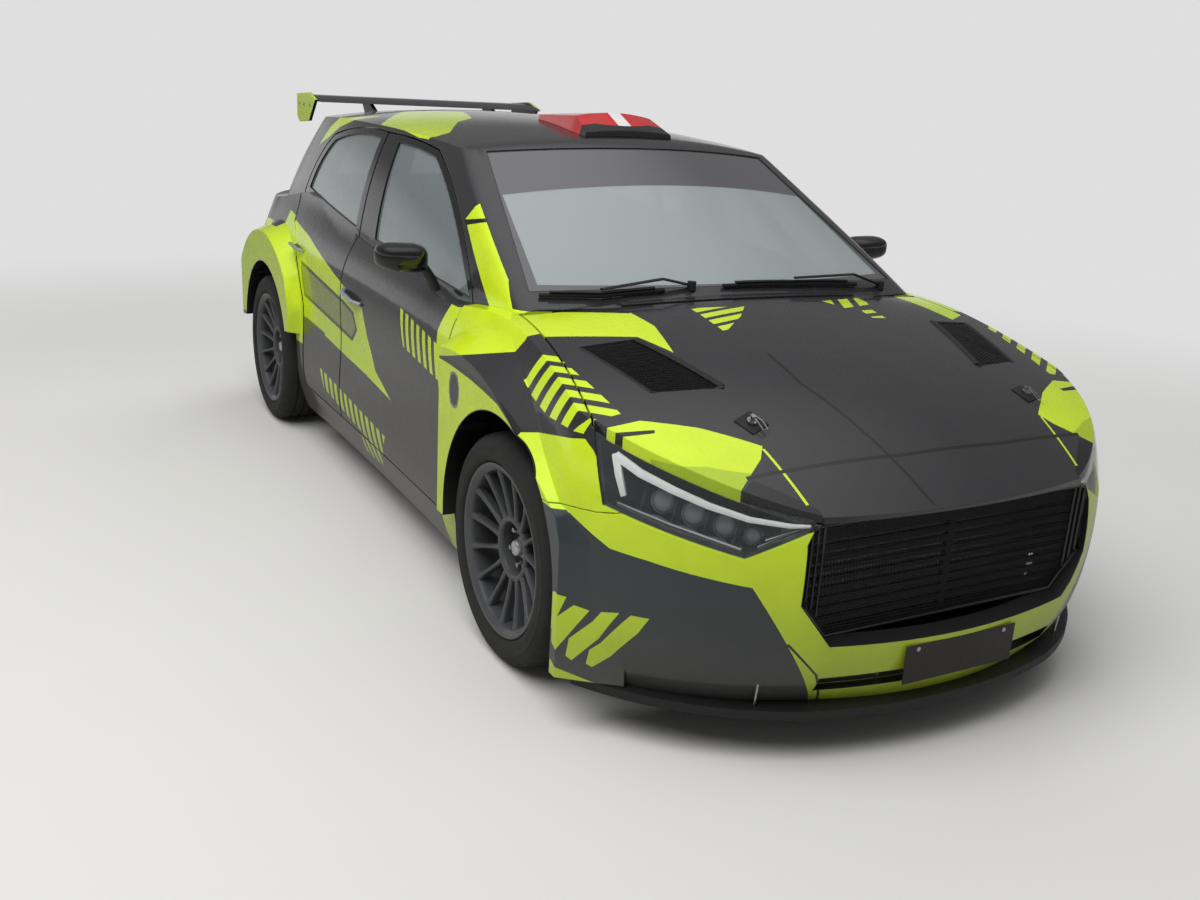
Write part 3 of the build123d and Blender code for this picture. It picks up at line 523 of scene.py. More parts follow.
paint("bonnetPaint", "dark", [
    patch("plan", "yellow", [(900, -800), (950, -707), (1080, -450), (1248, -521), (1119, -820)]),
    patch("plan", "yellow", [(1080, -450), (1198, -439), (1364, -476), (1248, -521)]),
    patch("plan", "yellow", [(940, 770), (1000, 610), (1225, 655), (1160, 760)]),
    patch("plan", "yellow", [(1100, -262), (1120, -84), (1198, -150), (1296, -268)],
          bars=(1, 0.2, 48, 0.62)),
    patch("plan", "yellow", [(1050, 405), (1095, 226), (1165, 262), (1120, 405)], bars=(0.5, 1, 70, 0.6)),
    patch("plan", "yellow", [(1150, 360), (1160, 310), (1250, 300), (1250, 352)], bars=(1, 0.2, 52, 0.5)),
    patch("top", "yellow", [(1215, 840), (1262, 772), (1562, 742), (1562, 790), (1545, 860)],
          bars=(0.77, 0.64, 49, 0.56)),
    patch("top", "yellow", [(1590, 860), (1603, 711), (1675, 590), (1774, 468), (1808, 495), (1880, 603),
           (1880, 860)]),
    patch("top", "black", [(1618, 790), (1646, 694), (1656, 700), (1636, 790)]),
    # painted shade on the brow over the headlamp: the yellow made darker there
    patch("top", "shadedYellow", [(1700, 760), (1790, 470), (1808, 495), (1880, 603), (1880, 760)],
          within=lampBrow),
    patch("top", "black", [(1855, 548), (1958, 428), (2040, 420), (2040, 600), (1900, 640)]),
    patch("top", "yellow", [(1780, 475), (1784, 467), (1942, 446), (1942, 454)]),
    patch("plan", "black", [(1842, -560), (1866, -100), (1875, -100), (1852, -560)]),
    patch("plan", "black", [(1866, -101), (1864, 240), (1873, 240), (1875, -101)]),
    patch("plan", "black", [(1864, 239), (1838, 560), (1848, 560), (1873, 239)]),
    patch("plan", "black", [(1442, -231), (1592, -233), (1592, -223), (1442, -221)]),
    patch("plan", "black", [(1592, -233), (2000, -115), (2000, -105), (1592, -223)]),
])

paint("wingPaint", "dark", [
    patch("side", "black", [(700, 100), (700, 786), (878, 786), (1018, 781), (1112, 770), (1200, 758),
           (1268, 733), (1336, 700), (1350, 100)]),
    patch("side", "yellow", [(690, 90), (690, 772), (880, 771), (1019, 764), (1113, 755), (1202, 743),
           (1270, 717), (1334, 686), (1350, 90)]),
    patch("side", "yellow", [(640, 740), (847, 792), (1048, 835), (1101, 848), (1125, 890), (1125, 960),
           (640, 960)]),
    patch("side", "yellow", [(1326, 701), (1561, 747), (1592, 727), (1720, 600), (1720, 520), (1326, 520)]),
    patch("top", "yellow", [(1215, 840), (1262, 772), (1562, 742), (1562, 790), (1545, 860)],
          bars=(0.77, 0.64, 49, 0.56), within=wingTop),
    patch("side", "grey", [(873, 660), (862, 690), (862, 720), (873, 750), (892, 758), (908, 758),
           (927, 750), (938, 720), (938, 690), (927, 660), (908, 652), (892, 652)]),
    patch("side", "black", [(879, 667), (869, 692), (869, 718), (879, 743), (893, 750), (907, 750),
           (921, 743), (931, 718), (931, 692), (921, 667), (907, 660), (893, 660)]),
] + archLiner(1200))

paint("doorPaint", "dark", [
    patch("side", "yellow", [(-1340, 955), (-936, 884), (-355, 820), (-150, 775), (-116, 734), (-57, 638),
           (-57, 508), (-323, 521), (-914, 560), (-1340, 600)]),
    patch("side", "yellow", [(-60, 645), (28, 547), (-60, 507)]),
    patch("side", "yellow", [(-60, 576), (30, 546), (240, 484), (-60, 507)]),
    patch("side", "dark", [(-890, 562), (-600, 549), (-600, 440), (-866, 440), (-860, 520)]),
    patch("side", "black", [(-956, 782), (-338, 727), (-222, 708), (-182, 647), (-243, 594), (-890, 644)]),
    patch("side", "olive", [(-940, 768), (-345, 714), (-238, 696), (-204, 648), (-252, 608), (-876, 658)]),
    patch("side", "yellow", [(265, 817), (660, 766), (668, 664), (322, 699)], bars=(0.94, 0.34, 48, 0.52)),
    patch("side", "yellow", [(600, 810), (622, 895), (720, 895), (720, 600), (668, 600)]),
    patch("side", "yellow", [(-650, 397), (165, 345), (106, 255), (-600, 325)],
          bars=(0.94, 0.34, 60, 0.55)),
    patch("side", "black", [(760, 900), (-385, 968), (-1400, 1045), (-1400, 1500), (760, 1500)]),
])

paint("shellPaint", "dark", [
    patch("side", "yellow", [(-2060, 868), (-880, 868), (-862, 560), (-900, 440), (-2060, 380)]),
    patch("side", "yellow", [(-1345, 940), (-1345, 850), (-1100, 850), (-1100, 915)]),
    patch("side", "black", [(443, 1124), (640, 895), (950, 872), (779, 917)]),
    patch("side", "yellow", [(446, 1128), (472, 1178), (810, 999), (905, 932), (905, 915), (770, 917)]),
    patch("side", "black", [(436, 1124), (548, 1142), (562, 1132), (470, 1112)]),
    patch("side", "yellow", [(770, 917), (905, 932), (1120, 932), (1120, 850), (1040, 850)],
          within=scuttle),
    patch("plan", "yellow", [(905, -760), (950, -707), (1082, -450), (1120, -450), (1120, -760)]),
    patch("side", "yellow", [(-1300, 1225), (-1230, 1303), (-1134, 1350), (-1057, 1315), (-1163, 1271)]),
    patch("side", "yellow", [(-1134, 1350), (-900, 1372), (-887, 1353), (-1057, 1315)]),
    patch("top", "yellow", [(-1150, 331), (-788, 209), (-437, 315), (-332, 415), (-332, 640), (-553, 640)],
          within=roofTop),
    patch("top", "yellow", [(-332, 415), (-89, 542), (-52, 606), (-52, 640), (-332, 640)], within=roofTop),
    patch("side", "yellow", [(-140, 285), (-140, 200), (60, 200), (106, 262)], bars=(0.94, 0.34, 60, 0.55)),
] + archLiner(-1360))

paint("bumperPaint", "yellow", [
    patch("side", "charcoal", [(1400, 575), (1562, 571), (1684, 507), (1684, 90), (1400, 90)],
          within=cheekFront),
    patch("side", "charcoal", [(1680, 508), (1763, 500), (1933, 471), (1975, 440), (2070, 290), (2070, 90),
           (1680, 90)],
          within=cheekFront),
    patch("side", "yellow", [(1560, 360), (1583, 369), (1609, 362), (1596, 303), (1574, 262), (1558, 290)]),
    patch("side", "yellow", [(1621, 343), (1645, 333), (1598, 217), (1575, 230), (1575, 275)]),
    patch("side", "yellow", [(1672, 338), (1713, 349), (1625, 195), (1615, 205), (1618, 253)]),
    patch("side", "yellow", [(1737, 350), (1774, 352), (1750, 305), (1658, 184), (1648, 191), (1651, 229)]),
    patch("side", "yellow", [(1540, 195), (1665, 142), (1665, 100), (1540, 100)]),
    patch("front", "black", [(-5, 186), (-5, 226), (391, 226), (391, 186)]),
    patch("front", "black", [(494, 330), (409, 240), (402, 240), (486, 330)]),
    patch("front", "black", [(409, 241), (356, 136), (349, 136), (402, 241)]),
] + archLiner(1200))

paint("rearBumperPaint", "charcoal", [
    patch("side", "yellow", [(-1600, 610), (-1600, 430), (-2070, 400), (-2070, 610)]),
] + archLiner(-1360))

paint("scoopPaint", "red", [
    patch("top", "white", [(-320, -20), (260, -26), (260, 26), (-320, 20)]),
    patch("top", "black", [(-400, 176), (-400, 300), (320, 300), (320, 176)]),
    patch("side", "black", [(178, 1370), (178, 1420), (260, 1404), (260, 1370)]),
])

paint("rearWingPaint", "black", [
    patch("front", "yellow", [(562, 1200), (562, 1500), (720, 1500), (720, 1200)]),
])

paint("tailgatePaint", "dark", [])

surface("blackPlastic", (0.014, 0.014, 0.015), (0.42, 0.58), bump=0.0004, bumpScale=900)
surface("glossBlack", (0.008, 0.008, 0.009), (0.08, 0.14), Coat_Weight=0.4)
surface("meshBlack", (0.012, 0.012, 0.013), (0.35, 0.45))
surface("linerBlack", (0.012, 0.012, 0.012), (0.8, 0.92), bump=0.001, bumpScale=120)
surface("rubber", (0.016, 0.016, 0.017), (0.7, 0.85), bump=0.0003, bumpScale=700)
surface("tyreRubber", (0.02, 0.02, 0.02), (0.62, 0.8), grain=25, shade=0.15, bump=0.0003, bumpScale=500)
surface("rimPaint", (0.088, 0.091, 0.097), (0.3, 0.42), Metallic=0.35, Coat_Weight=0.2)
surface("hubBrown", (0.05, 0.042, 0.036), (0.45, 0.6), shade=0.3, Metallic=0.5)
surface("hubAlloy", (0.62, 0.64, 0.66), (0.22, 0.32), Metallic=0.8)
surface("boltSteel", (0.55, 0.56, 0.57), (0.22, 0.35), Metallic=1.0)
surface("discIron", (0.16, 0.15, 0.14), (0.38, 0.55), grain=30, shade=0.25, Metallic=0.9)
surface("castAlloy", (0.24, 0.24, 0.25), (0.42, 0.6), 40, 0.15, bump=0.0005, bumpScale=300, Metallic=0.7)
surface("brushedAlloy", (0.45, 0.46, 0.47), (0.35, 0.5), grain=80, Metallic=0.9)
surface("exhaustSteel", (0.4, 0.36, 0.31), (0.28, 0.45), grain=20, shade=0.2, Metallic=1.0)
surface("springPaint", (0.55, 0.05, 0.04), (0.3, 0.42), Coat_Weight=0.3)
surface("framePaint", (0.1, 0.105, 0.11), (0.4, 0.55))
surface("cagePaint", (0.3, 0.31, 0.32), (0.35, 0.45))
surface("seatShell", (0.016, 0.016, 0.018), (0.28, 0.4), Coat_Weight=0.4)
surface("handleSilver", (0.52, 0.53, 0.55), (0.25, 0.35), Metallic=0.6, Coat_Weight=0.3)
surface("plateDark", (0.03, 0.027, 0.025), (0.5, 0.62), bump=0.0002)
surface("chrome", (0.8, 0.81, 0.82), (0.05, 0.1), Metallic=1.0)
surface("lightStrip", (0.9, 0.93, 0.92), (0.2, 0.28), shade=0.02)
surface("lampGlass", (0.16, 0.17, 0.21), (0.03, 0.06), Coat_Weight=1.0)
surface("redLens", (0.42, 0.01, 0.012), (0.06, 0.1), Coat_Weight=0.6)


# Glass and cloth
screenBand = {
    # in millimetres: the lower edge of the sun band in the middle, and how much lower it is at the sides
    "low": 1196,
    "rise": 48,
    "riseOver": 640,
    # the screen's side edge at a height and its slope, the border's width and the height of its foot
    "side": 648,
    "sideAt": 1000,
    "slope": 0.27,
    "border": 12,
    "foot": 990,
    "colour": (0.085, 0.085, 0.095),
}


def screenEdge(tree, place, s=screenBand):
    # 1 where the windscreen is dark: the sun band along its top, and the border at its sides and foot.
    split = addNode(tree, "ShaderNodeSeparateXYZ", {0: place}).outputs
    flank, z = calc(tree, "ABSOLUTE", split[1]), split[2]
    square = calc(tree, "POWER", calc(tree, "DIVIDE", flank, s["riseOver"] * mm), 2.0)
    drop = calc(tree, "MULTIPLY", square, s["rise"] * mm)
    band = calc(tree, "GREATER_THAN", calc(tree, "ADD", z, drop), (s["low"] + s["rise"]) * mm)
    edge = calc(tree, "MULTIPLY_ADD", z, -s["slope"], (s["side"] + s["sideAt"] * s["slope"]) * mm)
    border = calc(tree, "GREATER_THAN", flank, calc(tree, "SUBTRACT", edge, s["border"] * mm))
    foot = calc(tree, "LESS_THAN", z, s["foot"] * mm)
    return calc(tree, "MAXIMUM", calc(tree, "MAXIMUM", band, border), foot)


glassFinish = {
    "blend": 0.35,
    # scale and detail of the smears, and how much they hide
    "smear": (1.3, 2.0),
    "smearRange": (-0.03, 0.03),
    "roughness": 0.03,
    "coatRoughness": 0.02,
}


def glass(name, colour, thin, full, darkEdge=None, s=glassFinish):
    # Glass: clearer face on, with more painted reflection towards its edges: its pale colour shows more
    # there, in place of the sky it reflects.
    tree, bsdf = newMaterial(name)
    place = objectPlace(tree)
    facing = addNode(tree, "ShaderNodeLayerWeight", {"Blend": s["blend"]}).outputs["Facing"]
    cover = addNode(tree, "ShaderNodeMapRange", {0: facing, 3: thin, 4: full}).outputs[0]
    smear = spread(tree, noise(tree, place, *s["smear"]), *s["smearRange"])
    cover = calc(tree, "ADD", cover, smear)
    shade = (*colour, 1)
    if darkEdge:
        dark = darkEdge(tree, place)
        shade = mixColour(tree, dark, colour, screenBand["colour"])
        cover = calc(tree, "MAXIMUM", dark, cover)
    plug(tree, bsdf, {"Base Color": shade, "Alpha": cover, "Roughness": s["roughness"], "Coat Weight": 1.0,
                      "Coat Roughness": s["coatRoughness"]})


clothFinish = {
    "scale": 220.0,
    "distortion": 0.5,
    "bump": 0.0008,
    "lighter": 1.6,
    "roughness": 0.85,
    "sheen": 0.3,
}


def cloth(name, colour, s=clothFinish):
    # Seat cloth: a fine weave in bump and sheen.
    tree, bsdf = newMaterial(name)
    inputs = {"Vector": objectPlace(tree), "Scale": s["scale"], "Distortion": s["distortion"]}
    threads = [addNode(tree, "ShaderNodeTexWave", inputs, bands_direction=way).outputs["Fac"] for way in "ZY"]
    weave = calc(tree, "MULTIPLY", *threads)
    bump = addNode(tree, "ShaderNodeBump", {"Distance": s["bump"], "Height": weave})
    lighter = tuple(c * s["lighter"] for c in colour)
    plug(tree, bsdf, {"Base Color": mixColour(tree, weave, colour, lighter), "Normal": bump.outputs[0],
                      "Roughness": s["roughness"], "Sheen Weight": s["sheen"]})


# the pale glass colours are a painted reflection, shown more at a slant
glass("screenGlass", (0.42, 0.47, 0.48), 0.55, 0.8, screenEdge)
glass("sideGlass", (0.24, 0.28, 0.29), 0.42, 0.85)
glass("lensGlass", (0.3, 0.32, 0.34), 0.06, 0.42)
cloth("padCloth", (0.026, 0.026, 0.029))
cloth("beltWeb", (0.055, 0.055, 0.062))
print("paint and finishes made:", len(materials))


# Geometry Nodes tools
def newTree(name, sockets):
    # A socket's value is its default, or the word for its kind.
    tree = bpy.data.node_groups.new(name, "GeometryNodeTree")
    tree.interface.new_socket("Geometry", in_out="INPUT", socket_type="NodeSocketGeometry")
    for label, value in sockets.items():
        kind = value if isinstance(value, str) else {int: "Int", float: "Float"}[type(value)]
        socket = tree.interface.new_socket(label, in_out="INPUT", socket_type=f"NodeSocket{kind}")
        if kind != value:
            socket.default_value = value
    tree.interface.new_socket("Geometry", in_out="OUTPUT", socket_type="NodeSocketGeometry")
    return tree, addNode(tree, "NodeGroupInput").outputs


def finishTree(tree, given, geometry):
    real = addNode(tree, "GeometryNodeRealizeInstances", {"Geometry": geometry}).outputs[0]
    painted = addNode(tree, "GeometryNodeSetMaterial", {"Geometry": real, "Material": given["Finish"]})
    addNode(tree, "NodeGroupOutput", {0: painted.outputs[0]})
    return tree


def grow(obj, tree, **values):
    # Puts a tree on a piece, gives it its inputs and bakes the result.
    modifier = obj.modifiers.new(tree.name, "NODES")
    modifier.node_group = tree
    for item in tree.interface.items_tree:
        if item.in_out == "INPUT" and item.name in values:
            value = values[item.name]
            modifier[item.identifier] = materials[value] if item.name == "Finish" else value
    return bakeModifiers(obj)


def copiesOn(tree, points, piece, rotation, **more):
    inputs = {"Points": points, "Instance": piece, "Rotation": rotation, **more}
    return addNode(tree, "GeometryNodeInstanceOnPoints", inputs).outputs[0]


def facingAlong(tree, direction):
    kind = "FunctionNodeAlignRotationToVector"
    return addNode(tree, kind, {"Vector": direction}, axis="Z", pivot_axis="AUTO").outputs[0]


def makeSmoothTree():
    # Joins a node's loose triangles and shades it smooth, apart from edges sharper than an angle.
    tree, given = newTree("smoothPanel", {"Sharp angle": radians(26)})
    inputs = {"Geometry": given[0], "Distance": 0.00002}
    mesh = addNode(tree, "GeometryNodeMergeByDistance", inputs).outputs[0]
    angle = addNode(tree, "GeometryNodeInputMeshEdgeAngle").outputs[0]
    sharp = addNode(tree, "FunctionNodeCompare", {0: angle, 1: given[1]}, operation="GREATER_THAN").outputs[0]
    for domain, chosen, smooth in (("FACE", True, True), ("EDGE", sharp, False)):
        inputs = {0: mesh, 1: chosen, 2: smooth}
        mesh = addNode(tree, "GeometryNodeSetShadeSmooth", inputs, domain=domain).outputs[0]
    addNode(tree, "NodeGroupOutput", {0: mesh})
    return tree


def makeRingTree():
    # Copies of a piece turned about a line along Y, then moved to a centre.
    sockets = {"Count": 5, "Phase": 0.0, "Centre": "Vector", "Finish": "Material"}
    tree, given = newTree("ringOfPieces", sockets)
    points = addNode(tree, "GeometryNodePoints", {"Count": given["Count"]}).outputs[0]
    index = addNode(tree, "GeometryNodeInputIndex").outputs[0]
    step = calc(tree, "DIVIDE", 2 * pi, given["Count"])
    turn = addNode(tree, "ShaderNodeCombineXYZ", {1: calc(tree, "MULTIPLY_ADD", index, step, given["Phase"])})
    copies = copiesOn(tree, points, given["Geometry"], turn.outputs[0])
    moved = addNode(tree, "GeometryNodeTransform", {"Geometry": copies, "Translation": given["Centre"]})
    return finishTree(tree, given, moved.outputs[0])


# a row's height and a cell's radius, as shares of the pitch
rowStep, cellSize = 0.866, 0.5774


def makeMeshTree():
    # Wire mesh: hexagonal cells laid over the piece's surface, which a ray finds from outside.
    sockets = {"Pitch": 0.01, "Wire": 0.001, "Rows": 20, "Columns": 20}
    sockets.update({label: "Vector" for label in ("Corner", "Along", "Up", "Ray")}, Finish="Material")
    tree, given = newTree("wireMesh", sockets)
    count = calc(tree, "MULTIPLY", given["Rows"], given["Columns"])
    points = addNode(tree, "GeometryNodePoints", {"Count": count}).outputs[0]
    index = addNode(tree, "GeometryNodeInputIndex").outputs[0]
    row = calc(tree, "FLOOR", calc(tree, "DIVIDE", index, given["Columns"]))
    column = calc(tree, "SUBTRACT", index, calc(tree, "MULTIPLY", row, given["Columns"]))
    shift = calc(tree, "MULTIPLY", calc(tree, "MODULO", row, 2.0), 0.5)
    across = calc(tree, "MULTIPLY", calc(tree, "ADD", column, shift), given["Pitch"])
    rise = calc(tree, "MULTIPLY", calc(tree, "MULTIPLY", row, rowStep), given["Pitch"])
    place = vectorCalc(tree, "ADD", scaled(tree, given["Along"], across), scaled(tree, given["Up"], rise))
    place = vectorCalc(tree, "ADD", place, given["Corner"])
    ray = addNode(tree, "GeometryNodeRaycast", {
        "Target Geometry": given["Geometry"], "Source Position": place, "Ray Direction": given["Ray"],
        "Ray Length": 5.0}).outputs
    hit = ray["Is Hit"]
    moved = addNode(tree, "GeometryNodeSetPosition", {
        "Geometry": points, "Position": ray["Hit Position"], "Selection": hit}).outputs[0]
    circle = "GeometryNodeCurvePrimitiveCircle"
    radius = calc(tree, "MULTIPLY", given["Pitch"], cellSize)
    ring = addNode(tree, circle, {"Resolution": 6, "Radius": radius}, mode="RADIUS").outputs[0]
    section = addNode(tree, circle, {"Resolution": 3, "Radius": given["Wire"]}, mode="RADIUS").outputs[0]
    cell = addNode(tree, "GeometryNodeCurveToMesh", {"Curve": ring, "Profile Curve": section}).outputs[0]
    copies = copiesOn(tree, moved, cell, facingAlong(tree, given["Ray"]), Selection=hit)
    return finishTree(tree, given, copies)


def makeScatterTree():
    # A bolt head with its washer, copied to each vertex of the piece's mesh and facing one way.
    sockets = {"Radius": 0.005, "Height": 0.003, "Facing": "Vector", "Finish": "Material"}
    tree, given = newTree("fastenersOnPoints", sockets)
    points = addNode(tree, "GeometryNodeMeshToPoints", {"Mesh": given["Geometry"]}).outputs[0]
    both = tree.nodes.new("GeometryNodeJoinGeometry")
    for sides, wider, lower in ((6, 1.0, 1.0), (20, 1.5, 0.5)):
        size = {"Vertices": sides, "Radius": calc(tree, "MULTIPLY", given["Radius"], wider),
                "Depth": calc(tree, "MULTIPLY", given["Height"], lower)}
        tree.links.new(addNode(tree, "GeometryNodeMeshCylinder", size).outputs[0], both.inputs[0])
    copies = copiesOn(tree, points, both.outputs[0], facingAlong(tree, given["Facing"]))
    return finishTree(tree, given, copies)


smoothPanel, ringTree = makeSmoothTree(), makeRingTree()
meshTree, scatterTree = makeMeshTree(), makeScatterTree()


def fasteners(name, places, facing, radius, height, body):
    obj = makeObject(name, places, [])
    grow(obj, scatterTree, Radius=radius, Height=height, Facing=facing, Finish="boltSteel")
    attach(obj, body)


# The CAD nodes keep their shapes and get a finish. {side} is right and left, {end} is front and rear.
nodesOfFinish = {
    "shellPaint": "body_shell",
    "bonnetPaint": "bonnet",
    "wingPaint": "front_wings",
    "doorPaint": "{end}_door_{side}",
    "bumperPaint": "front_bumper",
    "rearBumperPaint": "rear_bumper",
    "tailgatePaint": "tailgate",
    "scoopPaint": "roof_scoop",
    "rearWingPaint": "rear_wing",
    "screenGlass": "windscreen",
    "sideGlass": "tailgate_glass {end}_glass_{side}",
    "lensGlass": "headlamp_lenses",
    "redLens": "tail_lamps",
    "blackPlastic": "splitter dashboard",
    "glossBlack": "headlamp_bowls mirror_{side}",
    "meshBlack": "grille bonnet_vents",
    "linerBlack": "wheelhouses",
    "rubber": "steering_wheel tyre_{end}_{side}",
    "rimPaint": "rim_{end}_{side}",
    "discIron": "disc_{end}_{side}",
    "castAlloy": "engine_block knuckle_{side}",
    "brushedAlloy": "radiator sump_guard",
    "exhaustSteel": "exhaust",
    "framePaint": "inner_frame front_frame front_suspension rear_suspension",
    "cagePaint": "roll_cage",
    "seatShell": "seats",
}


def dress(node, material):
    obj = nodes[node]
    obj.data.materials.clear()
    obj.data.materials.append(materials[material])
    obj.modifiers.new("smoothPanel", "NODES").node_group = smoothPanel


for finish, names in nodesOfFinish.items():
    dressed = {name.format(end=end, side=side) for name in names.split()
               for end in ("front", "rear") for side in ("right", "left")}
    for node in sorted(dressed):
        dress(node, finish)
print("CAD nodes dressed")


# Where the bodywork is, so that trim sits on it
def surfaceOf(*names):
    verts, faces = [], []
    for name in names:
        mesh = nodes[name].data
        start = len(verts)
        verts += [v.co.copy() for v in mesh.vertices]
        faces += [[start + i for i in p.vertices] for p in mesh.polygons]
    return BVHTree.FromPolygons(verts, faces)


def meets(tree, start, direction):
    # The first point of a surface along a line, and the side of its normal that faces back.
    place, normal = tree.ray_cast(Vector(start), Vector(direction))[:2]
    if place is None:
        return None
    return place, -normal if normal.dot(Vector(direction)) > 0 else normal


def under(tree, x, y, start=2):
    # What a line straight down meets first.
    return meets(tree, (x, y, start), (0, 0, -1))


def between(p, q, count):
    # Points from p to q, both of them included, in count even steps.
    return [tuple(a + (b - a) * i / count for a, b in zip(p, q)) for i in range(count + 1)]


bothSides = (("right", -1), ("left", 1))


# Tyres: their profile is (radius, distance from the middle), from the bead to the tread's edge
tyreSettings = {
    "steps": 144,
    "side": [
        (0.229, 0.094), (0.233, 0.0972), (0.24, 0.0985), (0.2452, 0.1002), (0.2478, 0.1052),
        (0.2505, 0.1092), (0.256, 0.1122), (0.265, 0.1137), (0.276, 0.1139), (0.286, 0.1132),
        (0.2875, 0.1139), (0.2905, 0.1137), (0.292, 0.1122), (0.3, 0.1098), (0.308, 0.1058),
        (0.315, 0.0995), (0.3198, 0.0925), (0.3226, 0.085), (0.324, 0.076)],
    "crown": 0.325,
    "grooves": (0.058, 0.019, -0.019, -0.058),
    "grooveHalf": 0.00425,
    "grooveFloor": 0.7,
    "grooveDepth": 0.0062,
    "notchEvery": 4,
    "notchDepth": 0.0036,
    "notchFrom": 0.074,
    "notchTo": 0.101,
    "notchAbove": 0.312,
}


def makeTyre(name, centre, outward, s):
    crown, low, half = s["crown"], s["crown"] - s["grooveDepth"], s["grooveHalf"]
    floor = half * s["grooveFloor"]
    groove = [(crown, half), (low, floor), (low, -floor), (crown, -half)]
    tread = [(r, middle + h) for middle in s["grooves"] for r, h in groove]
    profile = s["side"] + tread + [(r, -h) for r, h in reversed(s["side"])]
    obj = revolveY(name, profile, centre, "tyreRubber", s["steps"], outward)
    axle = Vector(centre)
    for vert in obj.data.vertices:
        flat = Vector((vert.co.x - axle.x, 0, vert.co.z - axle.z))
        shoulder = s["notchFrom"] < abs(vert.co.y - axle.y) < s["notchTo"] and flat.length > s["notchAbove"]
        turn = round(atan2(flat.z, flat.x) / (2 * pi) * s["steps"]) % s["steps"]
        if shoulder and turn % s["notchEvery"] == 0:
            vert.co -= flat.normalized() * s["notchDepth"]
    return smoothByAngle(obj, 34)


# Rims
rimSettings = {
    # turned pieces: material, steps around, whether the profile is closed, its (radius, distance outboard)
    "turned": {
        "barrel": ("rimPaint", 120, True, [
            (0.2284, -0.0998), (0.2284, 0.0925), (0.23, 0.0968), (0.2345, 0.099), (0.24, 0.1002),
            (0.2436, 0.102), (0.2444, 0.1042), (0.243, 0.1058), (0.24, 0.106), (0.2345, 0.105),
            (0.2305, 0.1022), (0.2262, 0.0985), (0.2215, 0.096), (0.2188, 0.091), (0.2172, 0.078),
            (0.214, 0.035), (0.2125, 0.0), (0.2125, -0.06), (0.2165, -0.09), (0.218, -0.0998)]),
        "hubRing": ("rimPaint", 72, True, [
            (0.07, 0.026), (0.0715, 0.056), (0.0735, 0.0625), (0.0765, 0.066), (0.08, 0.0675),
            (0.086, 0.068), (0.0905, 0.0665), (0.093, 0.0625), (0.0935, 0.048), (0.086, 0.036),
            (0.07, 0.022), (0.0575, 0.01), (0.0575, -0.002), (0.03, -0.002), (0.03, 0.026)]),
        "hubFloor": ("hubBrown", 48, False, [(0, 0.03), (0.0712, 0.03), (0.0712, 0.024), (0, 0.024)]),
        "hubNose": ("hubAlloy", 40, False, [
            (0, 0.06), (0.015, 0.06), (0.019, 0.0585), (0.0225, 0.054), (0.024, 0.04),
            (0.03, 0.036), (0.031, 0.0295)]),
    },
    "bolt": [(0, 0.05), (0.0052, 0.05), (0.0078, 0.0485), (0.0085, 0.037), (0.0112, 0.036), (0.0112, 0.0295)],
    "bolts": 5,
    "boltRing": 0.052,
    "boltPhase": 0.3,
    "spokes": 15,
    "stations": 12,
    # each from the hub to the barrel
    "spokeReach": (0.078, 0.2195),
    "spokeDeep": (0.024, 0.026),
    "spokeHigh": (0.067, 0.094),
    "spokeWide": (0.0072, 0.0052),
    "section": [(-0.45, 0), (0.45, 0), (0.85, 0.12), (1, 0.35), (0.8, 1), (-0.8, 1), (-1, 0.35),
                (-0.85, 0.12)],
}


def spokePiece(s, outward):
    # One slim spoke, dished towards the hub and wider at both ends.
    verts = []
    for i in range(s["stations"]):
        t = i / (s["stations"] - 1)
        (r0, r1), (deep0, deep1), (high0, high1) = s["spokeReach"], s["spokeDeep"], s["spokeHigh"]
        r, deep, high = r0 + t * (r1 - r0), deep0 + (deep1 - deep0) * t, high0 + (high1 - high0) * t ** 1.5
        wide = s["spokeWide"][0] + s["spokeWide"][1] * abs(2 * t - 1.04) ** 3.0
        verts += [(r, outward * (high - deep * down), across * wide) for across, down in s["section"]]
    count = len(s["section"])
    obj = makeObject("spoke", verts, bandFaces(s["stations"], count) + endFaces(s["stations"], count))
    recalculate(obj)
    return smoothByAngle(obj, 60)


def makeRim(name, centre, outward, s):
    pieces = [revolveY(part, profile, centre, material, steps, outward, closed)
              for part, (material, steps, closed, profile) in s["turned"].items()]
    head = revolveY("wheelBolt", s["bolt"], (0, 0, 0), "boltSteel", 6, outward, closed=False)
    head.data.transform(Matrix.Translation((s["boltRing"], 0, 0)))
    for piece, count, phase, finish in ((spokePiece(s, outward), s["spokes"], pi / 2, "rimPaint"),
                                        (head, s["bolts"], s["boltPhase"], "boltSteel")):
        pieces.append(grow(piece, ringTree, Count=count, Phase=phase, Centre=centre, Finish=finish))
    return joined(name, [smoothByAngle(piece, 40) for piece in pieces])


wheelSettings = {"axles": {"front": 1.2, "rear": -1.36}, "track": 0.785, "height": 0.325}
for end, axleX in wheelSettings["axles"].items():
    for side, outward in bothSides:
        centre = (axleX, wheelSettings["track"] * outward, wheelSettings["height"])
        wheel = f"wheel_{end}_{side}"
        tyre = makeTyre(f"tyre-{end}-{side}", centre, outward, tyreSettings)
        attach(tyre, wheel, [f"tyre_{end}_{side}"])
        rim = makeRim(f"rim-{end}-{side}", centre, outward, rimSettings)
        attach(rim, wheel, [f"rim_{end}_{side}"])
print("wheels made")


# Wire mesh in the bumper's mouth and in the bonnet's vents
def layMesh(area, s, spans, corner, along, up, ray):
    return grow(area, meshTree, Pitch=s["pitch"], Wire=s["wire"], Columns=int(spans[0] / s["pitch"]) + 1,
                Rows=int(spans[1] / (s["pitch"] * rowStep)) + 1, Corner=corner, Along=along, Up=up, Ray=ray,
                Finish="meshBlack")


